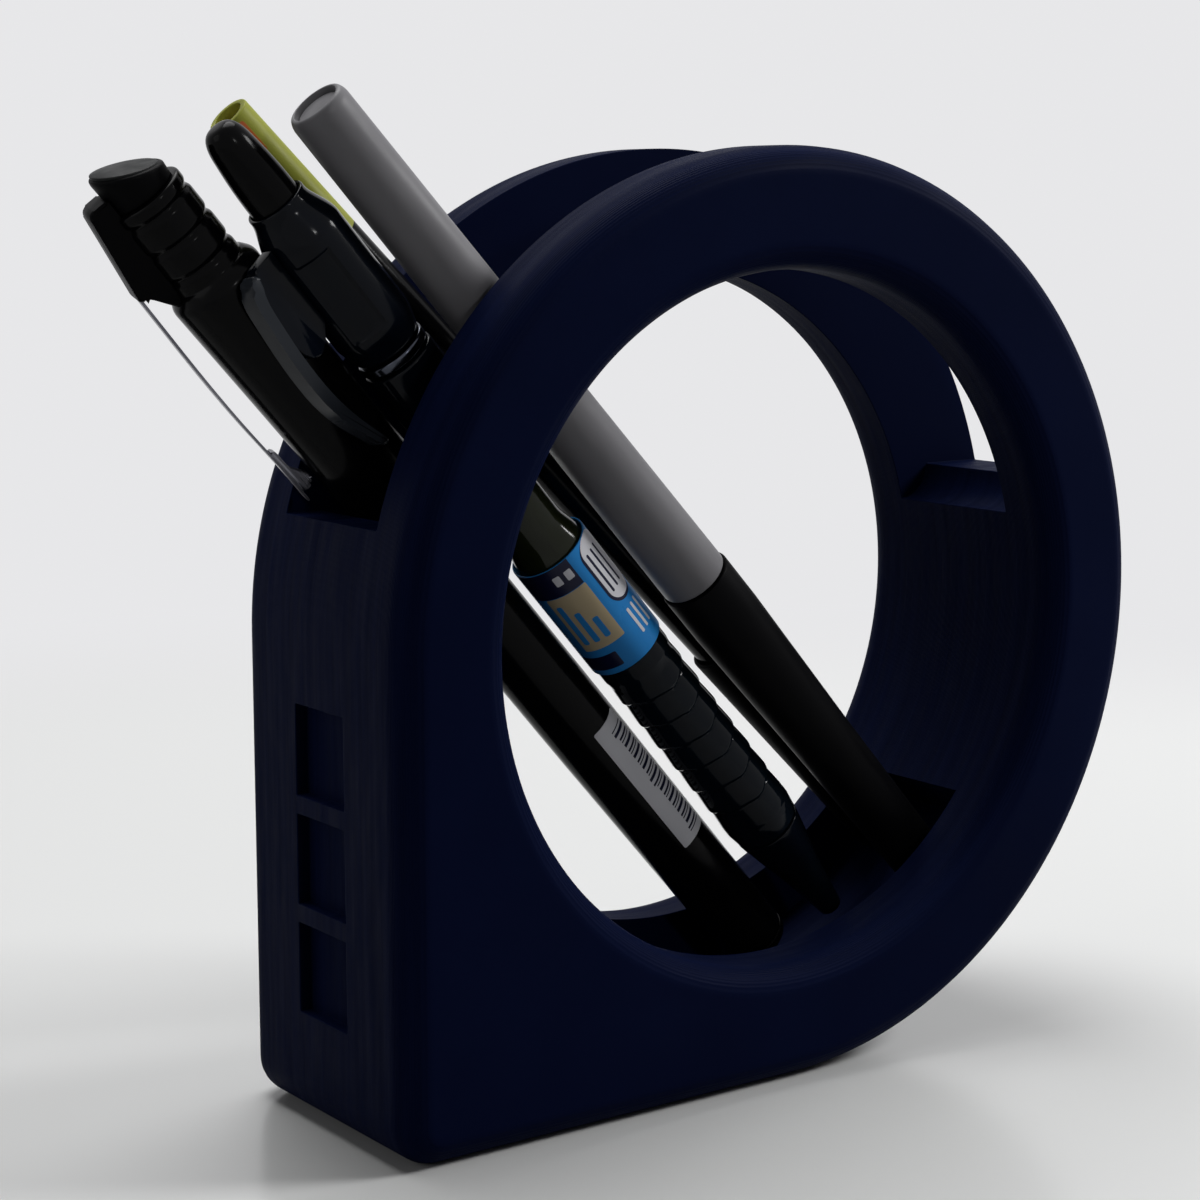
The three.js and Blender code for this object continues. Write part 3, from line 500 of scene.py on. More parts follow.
def skin(bm, rings):
    """Faces between each ring and the next. A ring may be a single vertex"""
    for low, high in zip(rings, rings[1:]):
        count = max(len(low), len(high))
        for i in range(count):
            j = (i + 1) % count
            ends = low if len(low) == 1 else [low[i], low[j]]
            tops = high if len(high) == 1 else [high[j], high[i]]
            bm.faces.new(ends + tops)


def turned(corners, closed=False, sides=PEN_SIDES, shape=None):
    """Revolves a profile of radius and height round z, shut on the axis unless it is closed.
    shape(r, z, turn) may change r and z"""
    if not closed:
        bottom, top = ([] if end[0] == 0 else [(0, end[1])] for end in (corners[0], corners[-1]))
        corners = [*bottom, *corners, *top]
    bm = bmesh.new()
    rings = []
    for radius, height in rounded(corners, closed):
        if radius == 0:
            r, z = shape(0, height, 0) if shape else (0, height)
            rings.append([bm.verts.new((0, 0, z * mm))])
            continue
        ring = []
        for k in range(sides):
            turn = tau * k / sides
            r, z = shape(radius, height, turn) if shape else (radius, height)
            ring.append(bm.verts.new(spot(r, turn, z)))
        rings.append(ring)
    skin(bm, rings + rings[:1] if closed else rings)
    return bm


def plate(corners, width, edge=0):
    """An outline in x and z, as thick as width along y, with softened edges"""
    bm = bmesh.new()
    outline = rounded(corners, closed=True)
    front = [bm.verts.new((x * mm, -width / 2 * mm, z * mm)) for x, z in outline]
    back = [bm.verts.new((x * mm, width / 2 * mm, z * mm)) for x, z in outline]
    bm.faces.new(front)
    bm.faces.new(back[::-1])
    count = len(outline)
    for i in range(count):
        j = (i + 1) % count
        bm.faces.new((front[j], front[i], back[i], back[j]))
    if edge:
        rims = [e for e in bm.edges if abs(e.verts[0].co.y - e.verts[1].co.y) < mm * 0.001]
        bmesh.ops.bevel(bm, geom=rims, offset=edge * mm, segments=BEVEL_STEPS, profile=0.5, affect="EDGES")
    return bm


def patch(radius, low, high, turns, corner, proud, columns=PATCH_COLUMNS):
    """A thin rectangle with rounded corners, wrapped round a cylinder"""
    start, end = (radians(t) for t in turns)
    width = (end - start) * radius
    bm = bmesh.new()
    strips = []
    for k in range(columns + 1):
        share = (1 - cos(pi * k / columns)) / 2
        turn = start + (end - start) * share
        edge = min(share, 1 - share) * width
        inset = 0
        if edge < corner:
            inset = corner - sqrt(corner ** 2 - (corner - edge) ** 2)
        strip = []
        for r in (radius - proud, radius + proud):
            for z in (low + inset, high - inset):
                strip.append(bm.verts.new(spot(r, turn, z)))
        strips.append(strip)
    for a, b in zip(strips, strips[1:]):
        for i, j in ((0, 1), (1, 3), (3, 2), (2, 0)):
            bm.faces.new((a[i], a[j], b[j], b[i]))
    for end_strip in (strips[0], strips[-1]):
        bm.faces.new([end_strip[i] for i in (0, 1, 3, 2)])
    return bm


# Holder

def ring_angles():
    """Polar angles, broken where the ledges cut the ring and finer at the foot's corner"""
    outer = degrees(asin(LEDGE_RISE / RING_RADIUS))
    inner = degrees(asin(LEDGE_RISE / HOLE_RADIUS))
    flat = degrees(atan2(RING_RADIUS, RING_RADIUS - FOOT_CORNER))
    corner = degrees(atan2(RING_RADIUS - FOOT_CORNER, RING_RADIUS))
    breaks = [-90, -CHANNEL_END, outer, inner, 180 - inner, 180 - outer, 180, 180 + corner, 180 + flat, 270]
    angles = []
    for start, end in zip(breaks, breaks[1:]):
        step = CORNER_STEP if start == 180 + corner else ARC_STEP
        steps = max(1, round((end - start) / step))
        angles += [start + (end - start) * k / steps for k in range(steps)]
    return angles


def outer_point(polar):
    """The side view's outline at a polar angle, and the way it faces"""
    angle = radians(polar)
    way = Vector((cos(angle), sin(angle)))
    if polar <= 180:
        return way * RING_RADIUS, way
    side = way * (RING_RADIUS / abs(way.x))
    flat = RING_RADIUS - FOOT_CORNER
    if abs(side.y) <= flat:
        return side, Vector((-1, 0))
    foot = way * (RING_RADIUS / abs(way.y))
    if abs(foot.x) <= flat:
        return foot, Vector((0, -1))
    centre = Vector((-flat, -flat))
    along = way.dot(centre)
    reach = along + sqrt(along ** 2 - centre.length_squared + FOOT_CORNER ** 2)
    point = way * reach
    return point, (point - centre).normalized()


def holder_blank():
    """The ring on its foot, with its four long edges filleted"""
    layers = []
    for k in range(FILLET_STEPS + 1):
        angle = pi / 2 * k / FILLET_STEPS
        layers.append((EDGE_FILLET * (1 - sin(angle)), EDGE_FILLET * (1 - cos(angle))))
    half = HOLDER_WIDTH / 2
    levels = [(inset, y - half) for inset, y in layers]
    levels += [(inset, half - y) for inset, y in reversed(layers)]
    angles = ring_angles()
    bm = bmesh.new()
    outers, inners = [], []
    for inset, y in levels:
        outer, inner = [], []
        for polar in angles:
            point, facing = outer_point(polar)
            rim = point - facing * inset
            hole = Vector((cos(radians(polar)), sin(radians(polar))))
            hole *= HOLE_RADIUS + inset
            outer.append(bm.verts.new((rim.x * mm, y * mm, rim.y * mm)))
            inner.append(bm.verts.new((hole.x * mm, y * mm, hole.y * mm)))
        outers.append(outer)
        inners.append(inner)
    count = len(angles)
    for i in range(count):
        j = (i + 1) % count
        for low, high in zip(outers, outers[1:]):
            bm.faces.new((low[i], low[j], high[j], high[i]))
        for low, high in zip(inners, inners[1:]):
            bm.faces.new((low[j], low[i], high[i], high[j]))
        bm.faces.new((outers[0][j], outers[0][i], inners[0][i], inners[0][j]))
        bm.faces.new((outers[-1][i], outers[-1][j], inners[-1][j], inners[-1][i]))
    return bm


def arc(x, z, radius, start, end, steps):
    angles = [radians(start + (end - start) * k / steps) for k in range(steps + 1)]
    return [(x + radius * cos(a), z + radius * sin(a)) for a in angles]


def cutters():
    top = RING_RADIUS + OVERRUN
    slot = [(-top, LEDGE_RISE), (top, LEDGE_RISE), (top, top), (-top, top)]
    yield plate(slot, SLOT_WIDTH)
    end = radians(-CHANNEL_END)
    inside = HOLE_RADIUS - OVERRUN
    channel = [(-CHANNEL_RADIUS, LEDGE_RISE + OVERRUN)]
    channel += arc(0, 0, CHANNEL_RADIUS, 180, 360 - CHANNEL_END, CHANNEL_STEPS)
    channel += [(inside * cos(end), inside * sin(end)), (0, LEDGE_RISE + OVERRUN)]
    yield plate(channel, SLOT_WIDTH)
    cove_x = sqrt(HOLE_RADIUS ** 2 - (LEDGE_RISE - COVE_RADIUS) ** 2)
    yield plate(arc(cove_x, LEDGE_RISE, COVE_RADIUS, 0, 360, COVE_STEPS)[1:], SLOT_WIDTH)
    for i in range(RECESS_COUNT):
        middle = -RECESS_DROP - i * RECESS_PITCH
        low, high = middle - RECESS_SIDE / 2, middle + RECESS_SIDE / 2
        outside, inner = -RING_RADIUS - OVERRUN, -RING_RADIUS + RECESS_DEPTH
        yield plate([(outside, low), (inner, low), (inner, high), (outside, high)], RECESS_SIDE)


def build_holder():
    blank = new_object("blank", new_mesh("blank", holder_blank()))
    tools = [new_object("cutter", new_mesh("cutter", bm)) for bm in cutters()]
    for tool in tools:
        cut = blank.modifiers.new(tool.name, "BOOLEAN")
        cut.operation = "DIFFERENCE"
        cut.solver = "EXACT"
        cut.object = tool
    weld = blank.modifiers.new("weld", "WELD")
    weld.merge_threshold = WELD * mm
    bevel = blank.modifiers.new("rims", "BEVEL")
    bevel.width = RIM_BEVEL * mm
    bevel.segments = BEVEL_STEPS
    bevel.limit_method = "ANGLE"
    bevel.angle_limit = SHARP
    bevel.miter_outer = "MITER_ARC"
    depsgraph = bpy.context.evaluated_depsgraph_get()
    mesh = bpy.data.meshes.new_from_object(blank.evaluated_get(depsgraph))
    bm = bmesh.new()
    bm.from_mesh(mesh)
    bmesh.ops.translate(bm, verts=bm.verts, vec=RING_CENTRE * mm)
    holder = piece("holder_shell", bm, "navy_print", "holder", "navy_print", replaced=["holder_body"])
    normals = holder.modifiers.new("normals", "WEIGHTED_NORMAL")
    normals.keep_sharp = True
    for obj in (blank, *tools):
        bpy.data.objects.remove(obj)


# Pens

def pen_place(pen):
    """A pen's frame: its lower end is the origin, +z runs up the pen, +x away from the slope"""
    node, middle, lean = PENS[pen]
    low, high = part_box(node)
    turn = Matrix.Rotation(radians(lean - 90), 4, "Y")
    origin = (low + high) / 2 - turn @ Vector((0, 0, middle * mm))
    return Matrix.Translation(origin) @ turn


PLACES = {pen: pen_place(pen) for pen in PENS}


def part(name, bm, look, body, nodes=(), slot=None, turn=0):
    """A piece in its pen's frame. turn goes round the pen, in degrees"""
    place = PLACES[body.split("_")[0]]
    if turn:
        place = place @ Matrix.Rotation(radians(turn), 4, "Z")
    return piece(name, bm, look, body, slot or look, place, nodes)


# Capped roller pen

def roller_tail(pen):
    radius, spigot = pen.tail_radius, pen.barrel_bore - GAP
    end = pen.tail_head + pen.tail_spigot
    outline = [
        (radius - pen.tail_round, 0, MILD), (radius, pen.tail_round, SMALL),
        (radius, pen.tail_head, HAIR), (spigot, pen.tail_head), (spigot, end),
    ]
    part("roller_tail", turned(outline), "black_gloss", "roller", ["roller_tail_plug"])


def roller_tube(pen):
    start, shoulder, end = pen.barrel_start, pen.cap_mouth - GAP, pen.barrel_end
    radius, bore, tongue = pen.barrel_radius, pen.barrel_bore, pen.cap_bore - SLIDE
    outline = [
        (pen.tail_radius, start, THIN), (radius, pen.barrel_taper), (radius, shoulder, THIN),
        (tongue, shoulder), (tongue, end), (bore, end), (bore, start),
    ]
    part("roller_tube", turned(outline, closed=True), "black_gloss", "roller", ["roller_barrel"])


def roller_grip(pen):
    radius, start, end = pen.section_radius, pen.section_start, pen.section_end
    outline = [
        (radius, start, SMALL), (radius, start + pen.section_straight, pen.section_round),
        (pen.section_nose, end, SMALL),
    ]
    part("roller_grip", turned(outline), "black_satin", "roller", ["roller_section"])


def roller_tip(pen):
    radius, start = pen.point_radius, pen.section_end + GAP
    end = start + pen.point_length
    outline = [
        (radius, start), (radius, start + pen.point_straight, SMALL),
        (pen.point_tip, end - pen.point_dome, CRISP), (0, end),
    ]
    part("roller_tip", turned(outline, sides=POINT_SIDES), "bright_metal", "roller", ["roller_point"])


def roller_neck(pen):
    """The outline of the cap's grooved neck"""
    pitch = pen.neck_length / pen.groove_count
    outline = []
    for i in range(pen.groove_count):
        middle = pen.neck_start + (i + 0.5) * pitch
        outline.append((pen.neck_radius, middle - pen.groove_half, LIGHT))
        outline.append((pen.groove_radius, middle, CRISP))
        outline.append((pen.neck_radius, middle + pen.groove_half, LIGHT))
    return outline


def roller_cap(pen):
    roof, neck, top = pen.neck_start - pen.cap_roof, pen.neck_start, pen.cap_top
    hole, hole_floor = pen.peg_radius + GAP, top - pen.peg_length - GAP
    outline = [
        (pen.cap_bore, roof), (pen.cap_bore, pen.cap_mouth), (pen.cap_radius, pen.cap_mouth, LIGHT),
        (pen.cap_waist_radius, pen.cap_waist_height, pen.cap_sweep),
        (pen.cap_top_radius, neck - pen.cap_top_drop, pen.cap_top_round),
        (pen.ledge_radius, neck - pen.ledge_drop, SMALL), (pen.neck_radius, neck + pen.neck_rise, CRISP),
        *roller_neck(pen), (pen.neck_radius, top, SOFT), (hole, top), (hole, hole_floor),
    ]
    part("roller_cap_shell", turned(outline), "black_gloss", "roller_cap", ["roller_cap"])


def slanted(r, z, turn):
    """Lifts the crown's top on the clip's side"""
    pen = ROLLER
    lift = max(0, (z - pen.cap_top - GAP) / pen.crown_slant_run)
    slope = tan(radians(pen.crown_slant))
    return r, z + r * cos(turn - radians(pen.clip_turn)) * slope * lift


def roller_crown(pen):
    peg, base = pen.cap_top - pen.peg_length, pen.cap_top + pen.crown_seat
    lid = base + pen.crown_lid
    outline = [
        (pen.peg_radius, peg), (pen.peg_radius, base), (pen.crown_foot_radius, base, CRISP),
        (pen.crown_radius, base + pen.crown_wall, SOFT), (pen.crown_lid_radius, lid),
    ]
    part("roller_crown_body", turned(outline, shape=slanted), "black_satin", "roller_cap", ["roller_crown"])


def roller_crown_disc(pen):
    base = pen.cap_top + pen.crown_seat
    outline = [
        (pen.disc_radius, base + pen.disc_low), (pen.disc_radius, base + pen.disc_rim, CRISP),
        (pen.disc_crest_radius, base + pen.disc_crest, FULL), (0, base + pen.disc_top),
    ]
    # The disc's grey is a painted reflection on the black satin crown top
    part("roller_crown_disc", turned(outline, shape=slanted), "crown_painted_reflection", "roller_cap", slot="black_satin")


def roller_clip_block(pen):
    foot, top = pen.cap_top - pen.block_height, pen.cap_top + pen.block_rise
    outline = [
        (pen.block_root_radius, pen.neck_start - pen.block_root_drop),
        (pen.ledge_radius, pen.neck_start - pen.block_heel_drop), (pen.block_heel_reach, foot, SMALL),
        (pen.block_reach, foot, SOFT), (pen.block_top_reach, top, pen.block_top_round),
        (pen.block_neck_radius, top, SMALL), (pen.block_neck_radius, pen.cap_top - pen.block_neck_drop),
    ]
    part("roller_clip_block", plate(outline, pen.block_width, SOFT), "black_satin", "roller_cap",
         slot="black_gloss", turn=pen.clip_turn)


def roller_clip(pen):
    root, bow, toe = pen.strip_root_reach, pen.strip_bow_reach, pen.strip_toe_reach
    start = pen.cap_top - pen.block_height + pen.strip_sink
    outer = root + pen.strip_thickness
    outline = [
        (root, start), (bow, pen.strip_bow_height, pen.strip_bow_sweep),
        (toe, pen.strip_toe_height, pen.strip_toe_sweep), (toe, pen.strip_end, HAIR),
        (outer, pen.strip_end, HAIR), (outer, pen.strip_toe_height, pen.strip_toe_sweep),
        (bow + pen.strip_thickness, pen.strip_bow_height, pen.strip_bow_sweep), (outer, start),
    ]
    strip = plate(outline, pen.strip_width, pen.strip_edge)
    slot, turn = "bright_metal", pen.clip_turn
    # The strip and bead are bright metal, painted darker as shade
    part("roller_clip_strip", strip, "painted_shade_metal", "roller_cap", ["roller_clip"], slot, turn)
    outline = [(reach, pen.strip_end + rise, fillet) for reach, rise, fillet in BEAD]
    bead = plate(outline, pen.bead_width, SMALL)
    part("roller_clip_bead", bead, "painted_shade_metal", "roller_cap", slot=slot, turn=turn)


def roller_sticker(pen):
    radius, low, high = pen.barrel_radius - pen.sticker_sink, pen.sticker_low, pen.sticker_high
    sticker = patch(radius, low, high, pen.sticker_turns, SMALL, pen.sticker_half)
    part("roller_sticker", sticker, "label_white", "roller", slot="label_film")
    z = low + pen.bar_margin
    for i in range(pen.bar_count):
        width = pen.bar_module * (1 + i * 7 % 3)
        turns = (pen.guard_start if i in pen.guards else pen.bar_start, pen.bar_end)
        bar = patch(pen.barrel_radius + pen.bar_lift, z, z + width, turns, 0, pen.bar_half, pen.bar_columns)
        part(f"roller_sticker_bar_{i}", bar, "label_navy", "roller", slot="label_film")
        z += width + pen.bar_gap + pen.bar_gap_step * (i * 5 % 3)


# Retractable gel pen

def gel_nose(pen):
    bore, throat, mouth = pen.nose_bore, pen.nose_throat, pen.nose_mouth
    outline = [
        (pen.nose_tip_radius, 0, SMALL),
        (pen.nose_waist_radius, pen.nose_waist_height, pen.nose_waist_sweep),
        (pen.nose_shoulder_radius, pen.nose_shoulder_height, pen.nose_shoulder_sweep),
        (pen.nose_radius, pen.nose_length, CRISP), (bore, pen.nose_length), (bore, pen.nose_seat),
        (throat, pen.nose_seat), (throat, pen.nose_throat_height), (mouth, pen.nose_mouth_length),
        (mouth, 0, HAIR),
    ]
    part("gel_cone", turned(outline, closed=True), "smoke_clear", "gel", ["gel_nose"])


def ribbed(r, z, turn):
    """The bottle's ribs: each steps out sharply at its foot, tapers in, and wavers round the bottle"""
    pen = GEL
    start = pen.ribs_low + pen.rib_start
    end = start + pen.rib_pitch * pen.rib_count
    if r < pen.nose_radius or not start < z < end:
        return r, z
    waver = sum(size * sin(waves * turn) for waves, size in pen.rib_wavers)
    phase = ((z - start) / pen.rib_pitch + waver) % 1
    height = min(1, phase / pen.rib_rise) * (1 - pen.rib_taper * phase ** pen.rib_taper_power)
    fade = min(1, (z - start) / pen.rib_fade, (end - z) / pen.rib_fade)
    return r - pen.rib_depth * (1 - height) * fade, z


def gel_bottle(pen):
    start, top = pen.bottle_start, pen.label_high - pen.label_lap
    radius, bore, step = pen.bottle_radius, pen.bottle_bore, pen.bottle_ribbed / pen.bottle_rows
    rows = [(pen.bottle_crest_radius, pen.ribs_low + step * k) for k in range(pen.bottle_rows + 1)]
    outline = [
        (pen.nose_radius, start, CRISP), *rows, (radius, pen.label_low - pen.label_seam), (radius, top),
        (bore, top), (bore, start),
    ]
    body = turned(outline, closed=True, shape=ribbed, sides=pen.bottle_sides)
    part("gel_bottle_body", body, "tinted_clear", "gel", ["gel_bottle"])


def gel_bottle_neck(pen):
    start, end = pen.label_high - pen.label_lap, pen.bottle_end
    radius, narrow, bore = pen.bottle_radius, pen.bottle_neck_radius, pen.bottle_bore
    outline = [
        (radius, start), (radius, pen.shoulder_low, pen.bottle_shoulder_round),
        (narrow, pen.shoulder_high, FULL), (narrow, end, CRISP), (bore, end), (bore, start),
    ]
    neck = turned(outline, closed=True)
    part("gel_bottle_neck", neck, "olive_clear", "gel", ["gel_bottle"], "tinted_clear")


def label_marks():
    """The label's marks: look, heights, turns, corner and how far each stands out"""
    marks = {
        "gel_badge_rim": ("label_navy", (64.2, 75.2), (-88, -28), 2.6, ON_FILM),
        "gel_badge": ("label_white", (64.7, 75.25), (-84, -30), 2.2, ON_MARK),
        "gel_band": ("label_navy", (70.9, 75.25), (-190, -103), 0, ON_FILM),
        "gel_panel": ("label_tan", (61, 70.8), (-167, -102), CRISP, ON_FILM),
        "gel_foot_band": ("label_navy", (57.3, 59.7), (-190, -128), CRISP, ON_FILM),
    }
    for i in range(3):
        heights, left = (62.2, 69.4 - 1.8 * i), -160 + 17 * i
        marks[f"gel_panel_bar_{i}"] = ("label_film", heights, (left, left + 9), SMALL, ON_MARK)
    for i in range(3):
        left = -80 + 12 * i
        marks[f"gel_stripe_{i}"] = ("label_white", (58.8, 63.2), (left, left + 5), CRISP, ON_FILM)
        marks[f"gel_badge_stripe_{i}"] = ("label_navy", (66.4, 73.2), (left + 2, left + 6), CRISP, ON_BADGE)
    for i in range(2):
        left = -118 - 18 * i
        marks[f"gel_band_line_{i}"] = ("label_white", (72.4, 73.9), (left, left + 11), CRISP, ON_MARK)
    return marks


def gel_label(pen):
    low, high = pen.label_low, pen.label_high
    outer, inner = pen.label_radius, pen.label_radius - pen.label_thickness
    outline = [(outer, low, HAIR), (outer, high, HAIR), (inner, high), (inner, low)]
    part("gel_sleeve", turned(outline, closed=True), "label_film", "gel", ["gel_label"])
    for name, (look, heights, turns, corner, proud) in label_marks().items():
        part(name, patch(outer, *heights, turns, corner, proud), look, "gel", slot="label_film")


def gel_neck_cap(pen):
    radius, bore, start, end = pen.neck_cap_radius, pen.bottle_bore, pen.neck_cap_start, pen.neck_cap_end
    outline = [(radius, start, SOFT), (radius, end, MILD), (bore, end), (bore, start)]
    part("gel_neck", turned(outline, closed=True), "smoke_clear", "gel", ["gel_neck_cap"])


def gel_collar(pen):
    radius, bore, start, end = pen.collar_radius, pen.bottle_bore, pen.collar_start, pen.collar_end
    outline = [(radius, start, MILD), (radius, end, MILD), (bore, end), (bore, start)]
    # The collar is bright metal, darkened as painted shade
    part("gel_ring", turned(outline, closed=True), "collar_painted_shade_metal", "gel", ["gel_collar"], "bright_metal")


def grip_panels(r, z, turn):
    """Two long shallow panels sunk into the upper barrel"""
    pen = GEL
    low = pen.barrel_start + pen.panel_start
    high = low + pen.panel_length
    if r < pen.panel_least_radius or not low < z < high:
        return r, z
    for middle in pen.panel_turns:
        aside = abs((degrees(turn) - middle + 180) % 360 - 180)
        inside = min(pen.panel_half_turn - aside, min(z - low, high - z) * pen.panel_end_slope)
        if inside > 0:
            r -= pen.panel_depth * min(1, inside / pen.panel_side)
    return r, z


def gel_barrel(pen):
    start, end = pen.barrel_start, pen.barrel_end
    mouth, taper = end - pen.barrel_mouth_length, end - pen.barrel_mouth_length - pen.barrel_taper
    step, grip = pen.grip_length / pen.grip_rows, start + pen.grip_start
    rows = [(pen.barrel_radius, grip + step * k) for k in range(pen.grip_rows + 1)]
    outline = [
        (pen.barrel_foot_radius, start, pen.barrel_foot_round),
        (pen.barrel_swell_radius, start + pen.barrel_swell, pen.barrel_swell_round), *rows,
        (pen.barrel_radius, taper, pen.barrel_taper_round),
        (pen.barrel_mouth_radius, mouth, pen.barrel_mouth_round),
        (pen.barrel_mouth_radius, end, pen.barrel_lip_round), (pen.barrel_mouth_bore, end, THIN),
        (pen.barrel_mouth_bore, taper), (pen.barrel_bore, start + pen.barrel_shoulder),
        (pen.barrel_bore, start),
    ]
    barrel = turned(outline, closed=True, sides=pen.barrel_sides, shape=grip_panels)
    part("gel_top_barrel", barrel, "smoke_clear", "gel", ["gel_upper_barrel"])


def gel_clip(pen):
    # The arm's pale tone is a painted highlight on the clip's lit outer edge; the web keeps a dark smoke
    # tone
    arm = plate(CLIP_ARM, pen.arm_width, MILD)
    part("gel_clip_arm", arm, "painted_highlight_clear", "gel", ["gel_clip"], "tinted_clear", pen.clip_turn)
    web = plate(CLIP_WEB, pen.web_width, SMALL)
    part("gel_clip_web", web, "smoke_clear", "gel", ["gel_clip"], "tinted_clear", pen.clip_turn)


def gel_button(pen):
    start, top = pen.barrel_end - pen.click_travel, pen.barrel_end + pen.button_show
    foot = start - pen.plunger_length
    radius, plunger = pen.button_radius, pen.plunger_radius
    outline = [
        (plunger, foot, SMALL), (plunger, start), (radius, start, SMALL),
        (radius, start + pen.button_straight, pen.button_sweep),
        (pen.button_neck_radius, top - pen.button_round, pen.button_neck_round),
        (pen.button_top_radius, top, FULL), (0, top + pen.button_dome),
    ]
    part("gel_push_button", turned(outline), "black_gloss", "gel_button", ["gel_button"])


def gel_point(pen):
    start, end = pen.point_inset, pen.point_end
    tip, radius, shoulder = pen.point_tip, pen.point_radius, pen.point_shoulder_radius
    outline = [
        (tip, start, CRISP), (radius, start + pen.point_cone, CRISP),
        (radius, start + pen.point_nib, SMALL), (shoulder, end - pen.point_shoulder, CRISP),
        (shoulder, end),
    ]
    part("gel_tip", turned(outline, sides=POINT_SIDES), "bright_metal", "gel_refill", ["gel_point"])


def gel_refill(pen):
    stem, radius, start, step = pen.refill_stem_radius, pen.refill_radius, pen.refill_start, pen.refill_step
    outline = [(stem, start), (stem, step), (radius, step, SMALL), (radius, pen.refill_end, SMALL)]
    part("gel_ink", turned(outline, sides=TUBE_SIDES), "ink_tube", "gel_refill", ["gel_refill"])


def gel_spring(pen):
    """The return spring, a coil from its seat in the nose up to the refill's step"""
    seat, top, wire = pen.nose_seat + GAP, pen.refill_step - GAP, pen.spring_wire
    steps, around = pen.spring_turns * pen.spring_steps, pen.spring_wire_sides
    bm = bmesh.new()
    rings = []
    for k in range(steps + 1):
        turn = tau * k / pen.spring_steps
        middle = seat + wire + (top - seat - 2 * wire) * k / steps
        ring = []
        for j in range(around):
            angle = tau * j / around
            r = pen.spring_radius + wire * cos(angle)
            z = middle + wire * sin(angle)
            ring.append(bm.verts.new(spot(r, turn, z)))
        rings.append(ring)
    skin(bm, rings)
    bm.faces.new(rings[0])
    bm.faces.new(rings[-1])
    spring = part("gel_coil", bm, "bright_metal", "gel", ["gel_spring"])
    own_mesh(spring)


# Marker

def marker_cap(pen):
    length, bore, nose_bore = pen.cap_length, pen.cap_bore, pen.cap_nose_bore
    outline = [
        (pen.cap_end_radius, 0, SOFT), (pen.cap_foot_radius, pen.cap_round, pen.cap_foot_sweep),
        (pen.cap_waist_radius, pen.cap_taper), (pen.cap_radius, length - pen.cap_straight),
        (pen.cap_radius, length, CRISP), (bore, length), (bore, pen.cap_step), (nose_bore, pen.cap_step),
        (nose_bore, pen.cap_floor),
    ]
    part("marker_cap_shell", turned(outline), "black_satin", "marker_cap", ["marker_cap"])


def marker_barrel(pen):
    start, end = pen.barrel_start, pen.length
    outline = [
        (pen.barrel_radius, start, THIN), (pen.barrel_end_radius, end - pen.barrel_end_drop, SOFT),
        (pen.lip_radius, end - pen.lip_drop, MILD), (pen.lip_inner_radius, end, THIN),
        (pen.mouth_radius, end - pen.mouth_drop), (pen.barrel_bore, pen.barrel_bore_end),
        (pen.barrel_bore, start),
    ]
    part("marker_tube", turned(outline, closed=True), "grey_satin", "marker", ["marker_barrel"])


def marker_plug(pen):
    start = pen.plug_start
    end = start + pen.plug_side
    outline = [(pen.plug_radius, start), (pen.plug_top_radius, end, SMALL), (0, end + pen.plug_dome)]
    part("marker_plug", turned(outline), "grey_satin", "marker", ["marker_end_plug"])


def marker_section(pen):
    start, radius = pen.section_start, pen.section_radius
    outline = [
        (pen.section_nose, start, SMALL), (radius, pen.cap_length - pen.section_straight, FULL),
        (radius, pen.cap_length),
    ]
    part("marker_holder", turned(outline), "black_satin", "marker", ["marker_section"])


def marker_nib(pen):
    end = pen.section_start - GAP
    start = end - pen.nib_length
    outline = [
        (pen.nib_tip, start, SMALL), (pen.nib_radius, start + pen.nib_taper, MILD),
        (pen.nib_radius, end),
    ]
    part("marker_tip", turned(outline, sides=POINT_SIDES), "felt", "marker", ["marker_nib"])


# Slim stick pen

def stick_cap(pen):
    radius, bore, length = pen.cap_radius, pen.cap_radius - pen.cap_wall, pen.cap_length
    outline = [
        (radius - pen.cap_round, 0, SOFT), (radius, pen.cap_round, SOFT), (radius, length, THIN),
        (bore, length), (bore, pen.cap_floor),
    ]
    part("stick_cap_shell", turned(outline), "black_satin", "stick_cap", ["stick_cap"])


def stick_barrel(pen):
    """The lower barrel, painted black as shade, under the clear yellow top"""
    start, shoulder, top = pen.barrel_start, pen.cap_length + GAP, pen.top_start
    radius, bore, tongue = pen.barrel_radius, pen.barrel_bore, pen.tongue_radius
    outline = [
        (tongue, start, HAIR), (tongue, shoulder), (radius, shoulder, HAIR), (radius, top), (bore, top),
        (bore, start),
    ]
    shaft = turned(outline, closed=True)
    # The shaft is the clear yellow barrel, painted black as shade
    part("stick_shaft", shaft, "black_gloss", "stick", ["stick_barrel"], "yellow_clear")
    outline = [(radius, top), (radius, pen.length, LIGHT), (bore, pen.length, THIN), (bore, top)]
    part("stick_top", turned(outline, closed=True), "yellow_clear", "stick")
    high = pen.length - pen.mark_drop
    low = high - pen.mark_length
    part("stick_top_mark", patch(radius, low, high, pen.mark_turns, MILD, ON_FILM), "orange_satin", "stick")


def stick_plug(pen):
    radius, start, end = pen.barrel_bore - GAP, pen.plug_start, pen.plug_end
    outline = [(radius, start, CRISP), (radius, end, MILD)]
    part("stick_plug", turned(outline, sides=TUBE_SIDES), "orange_satin", "stick", ["stick_end_plug"])


def stick_refill(pen):
    radius, start, end = pen.refill_radius, pen.barrel_start, pen.plug_start - pen.refill_room
    outline = [(radius, start), (radius, end, CRISP)]
    part("stick_ink", turned(outline, sides=TUBE_SIDES), "ink_tube", "stick", ["stick_refill"])


def stick_point(pen):
    end = pen.barrel_start - GAP
    start = end - pen.point_length
    outline = [
        (pen.point_tip, start, CRISP), (pen.point_waist_radius, start + pen.point_waist, SOFT),
        (pen.point_radius, end, CRISP),
    ]
    part("stick_tip", turned(outline, sides=POINT_SIDES), "brass", "stick", ["stick_point"])


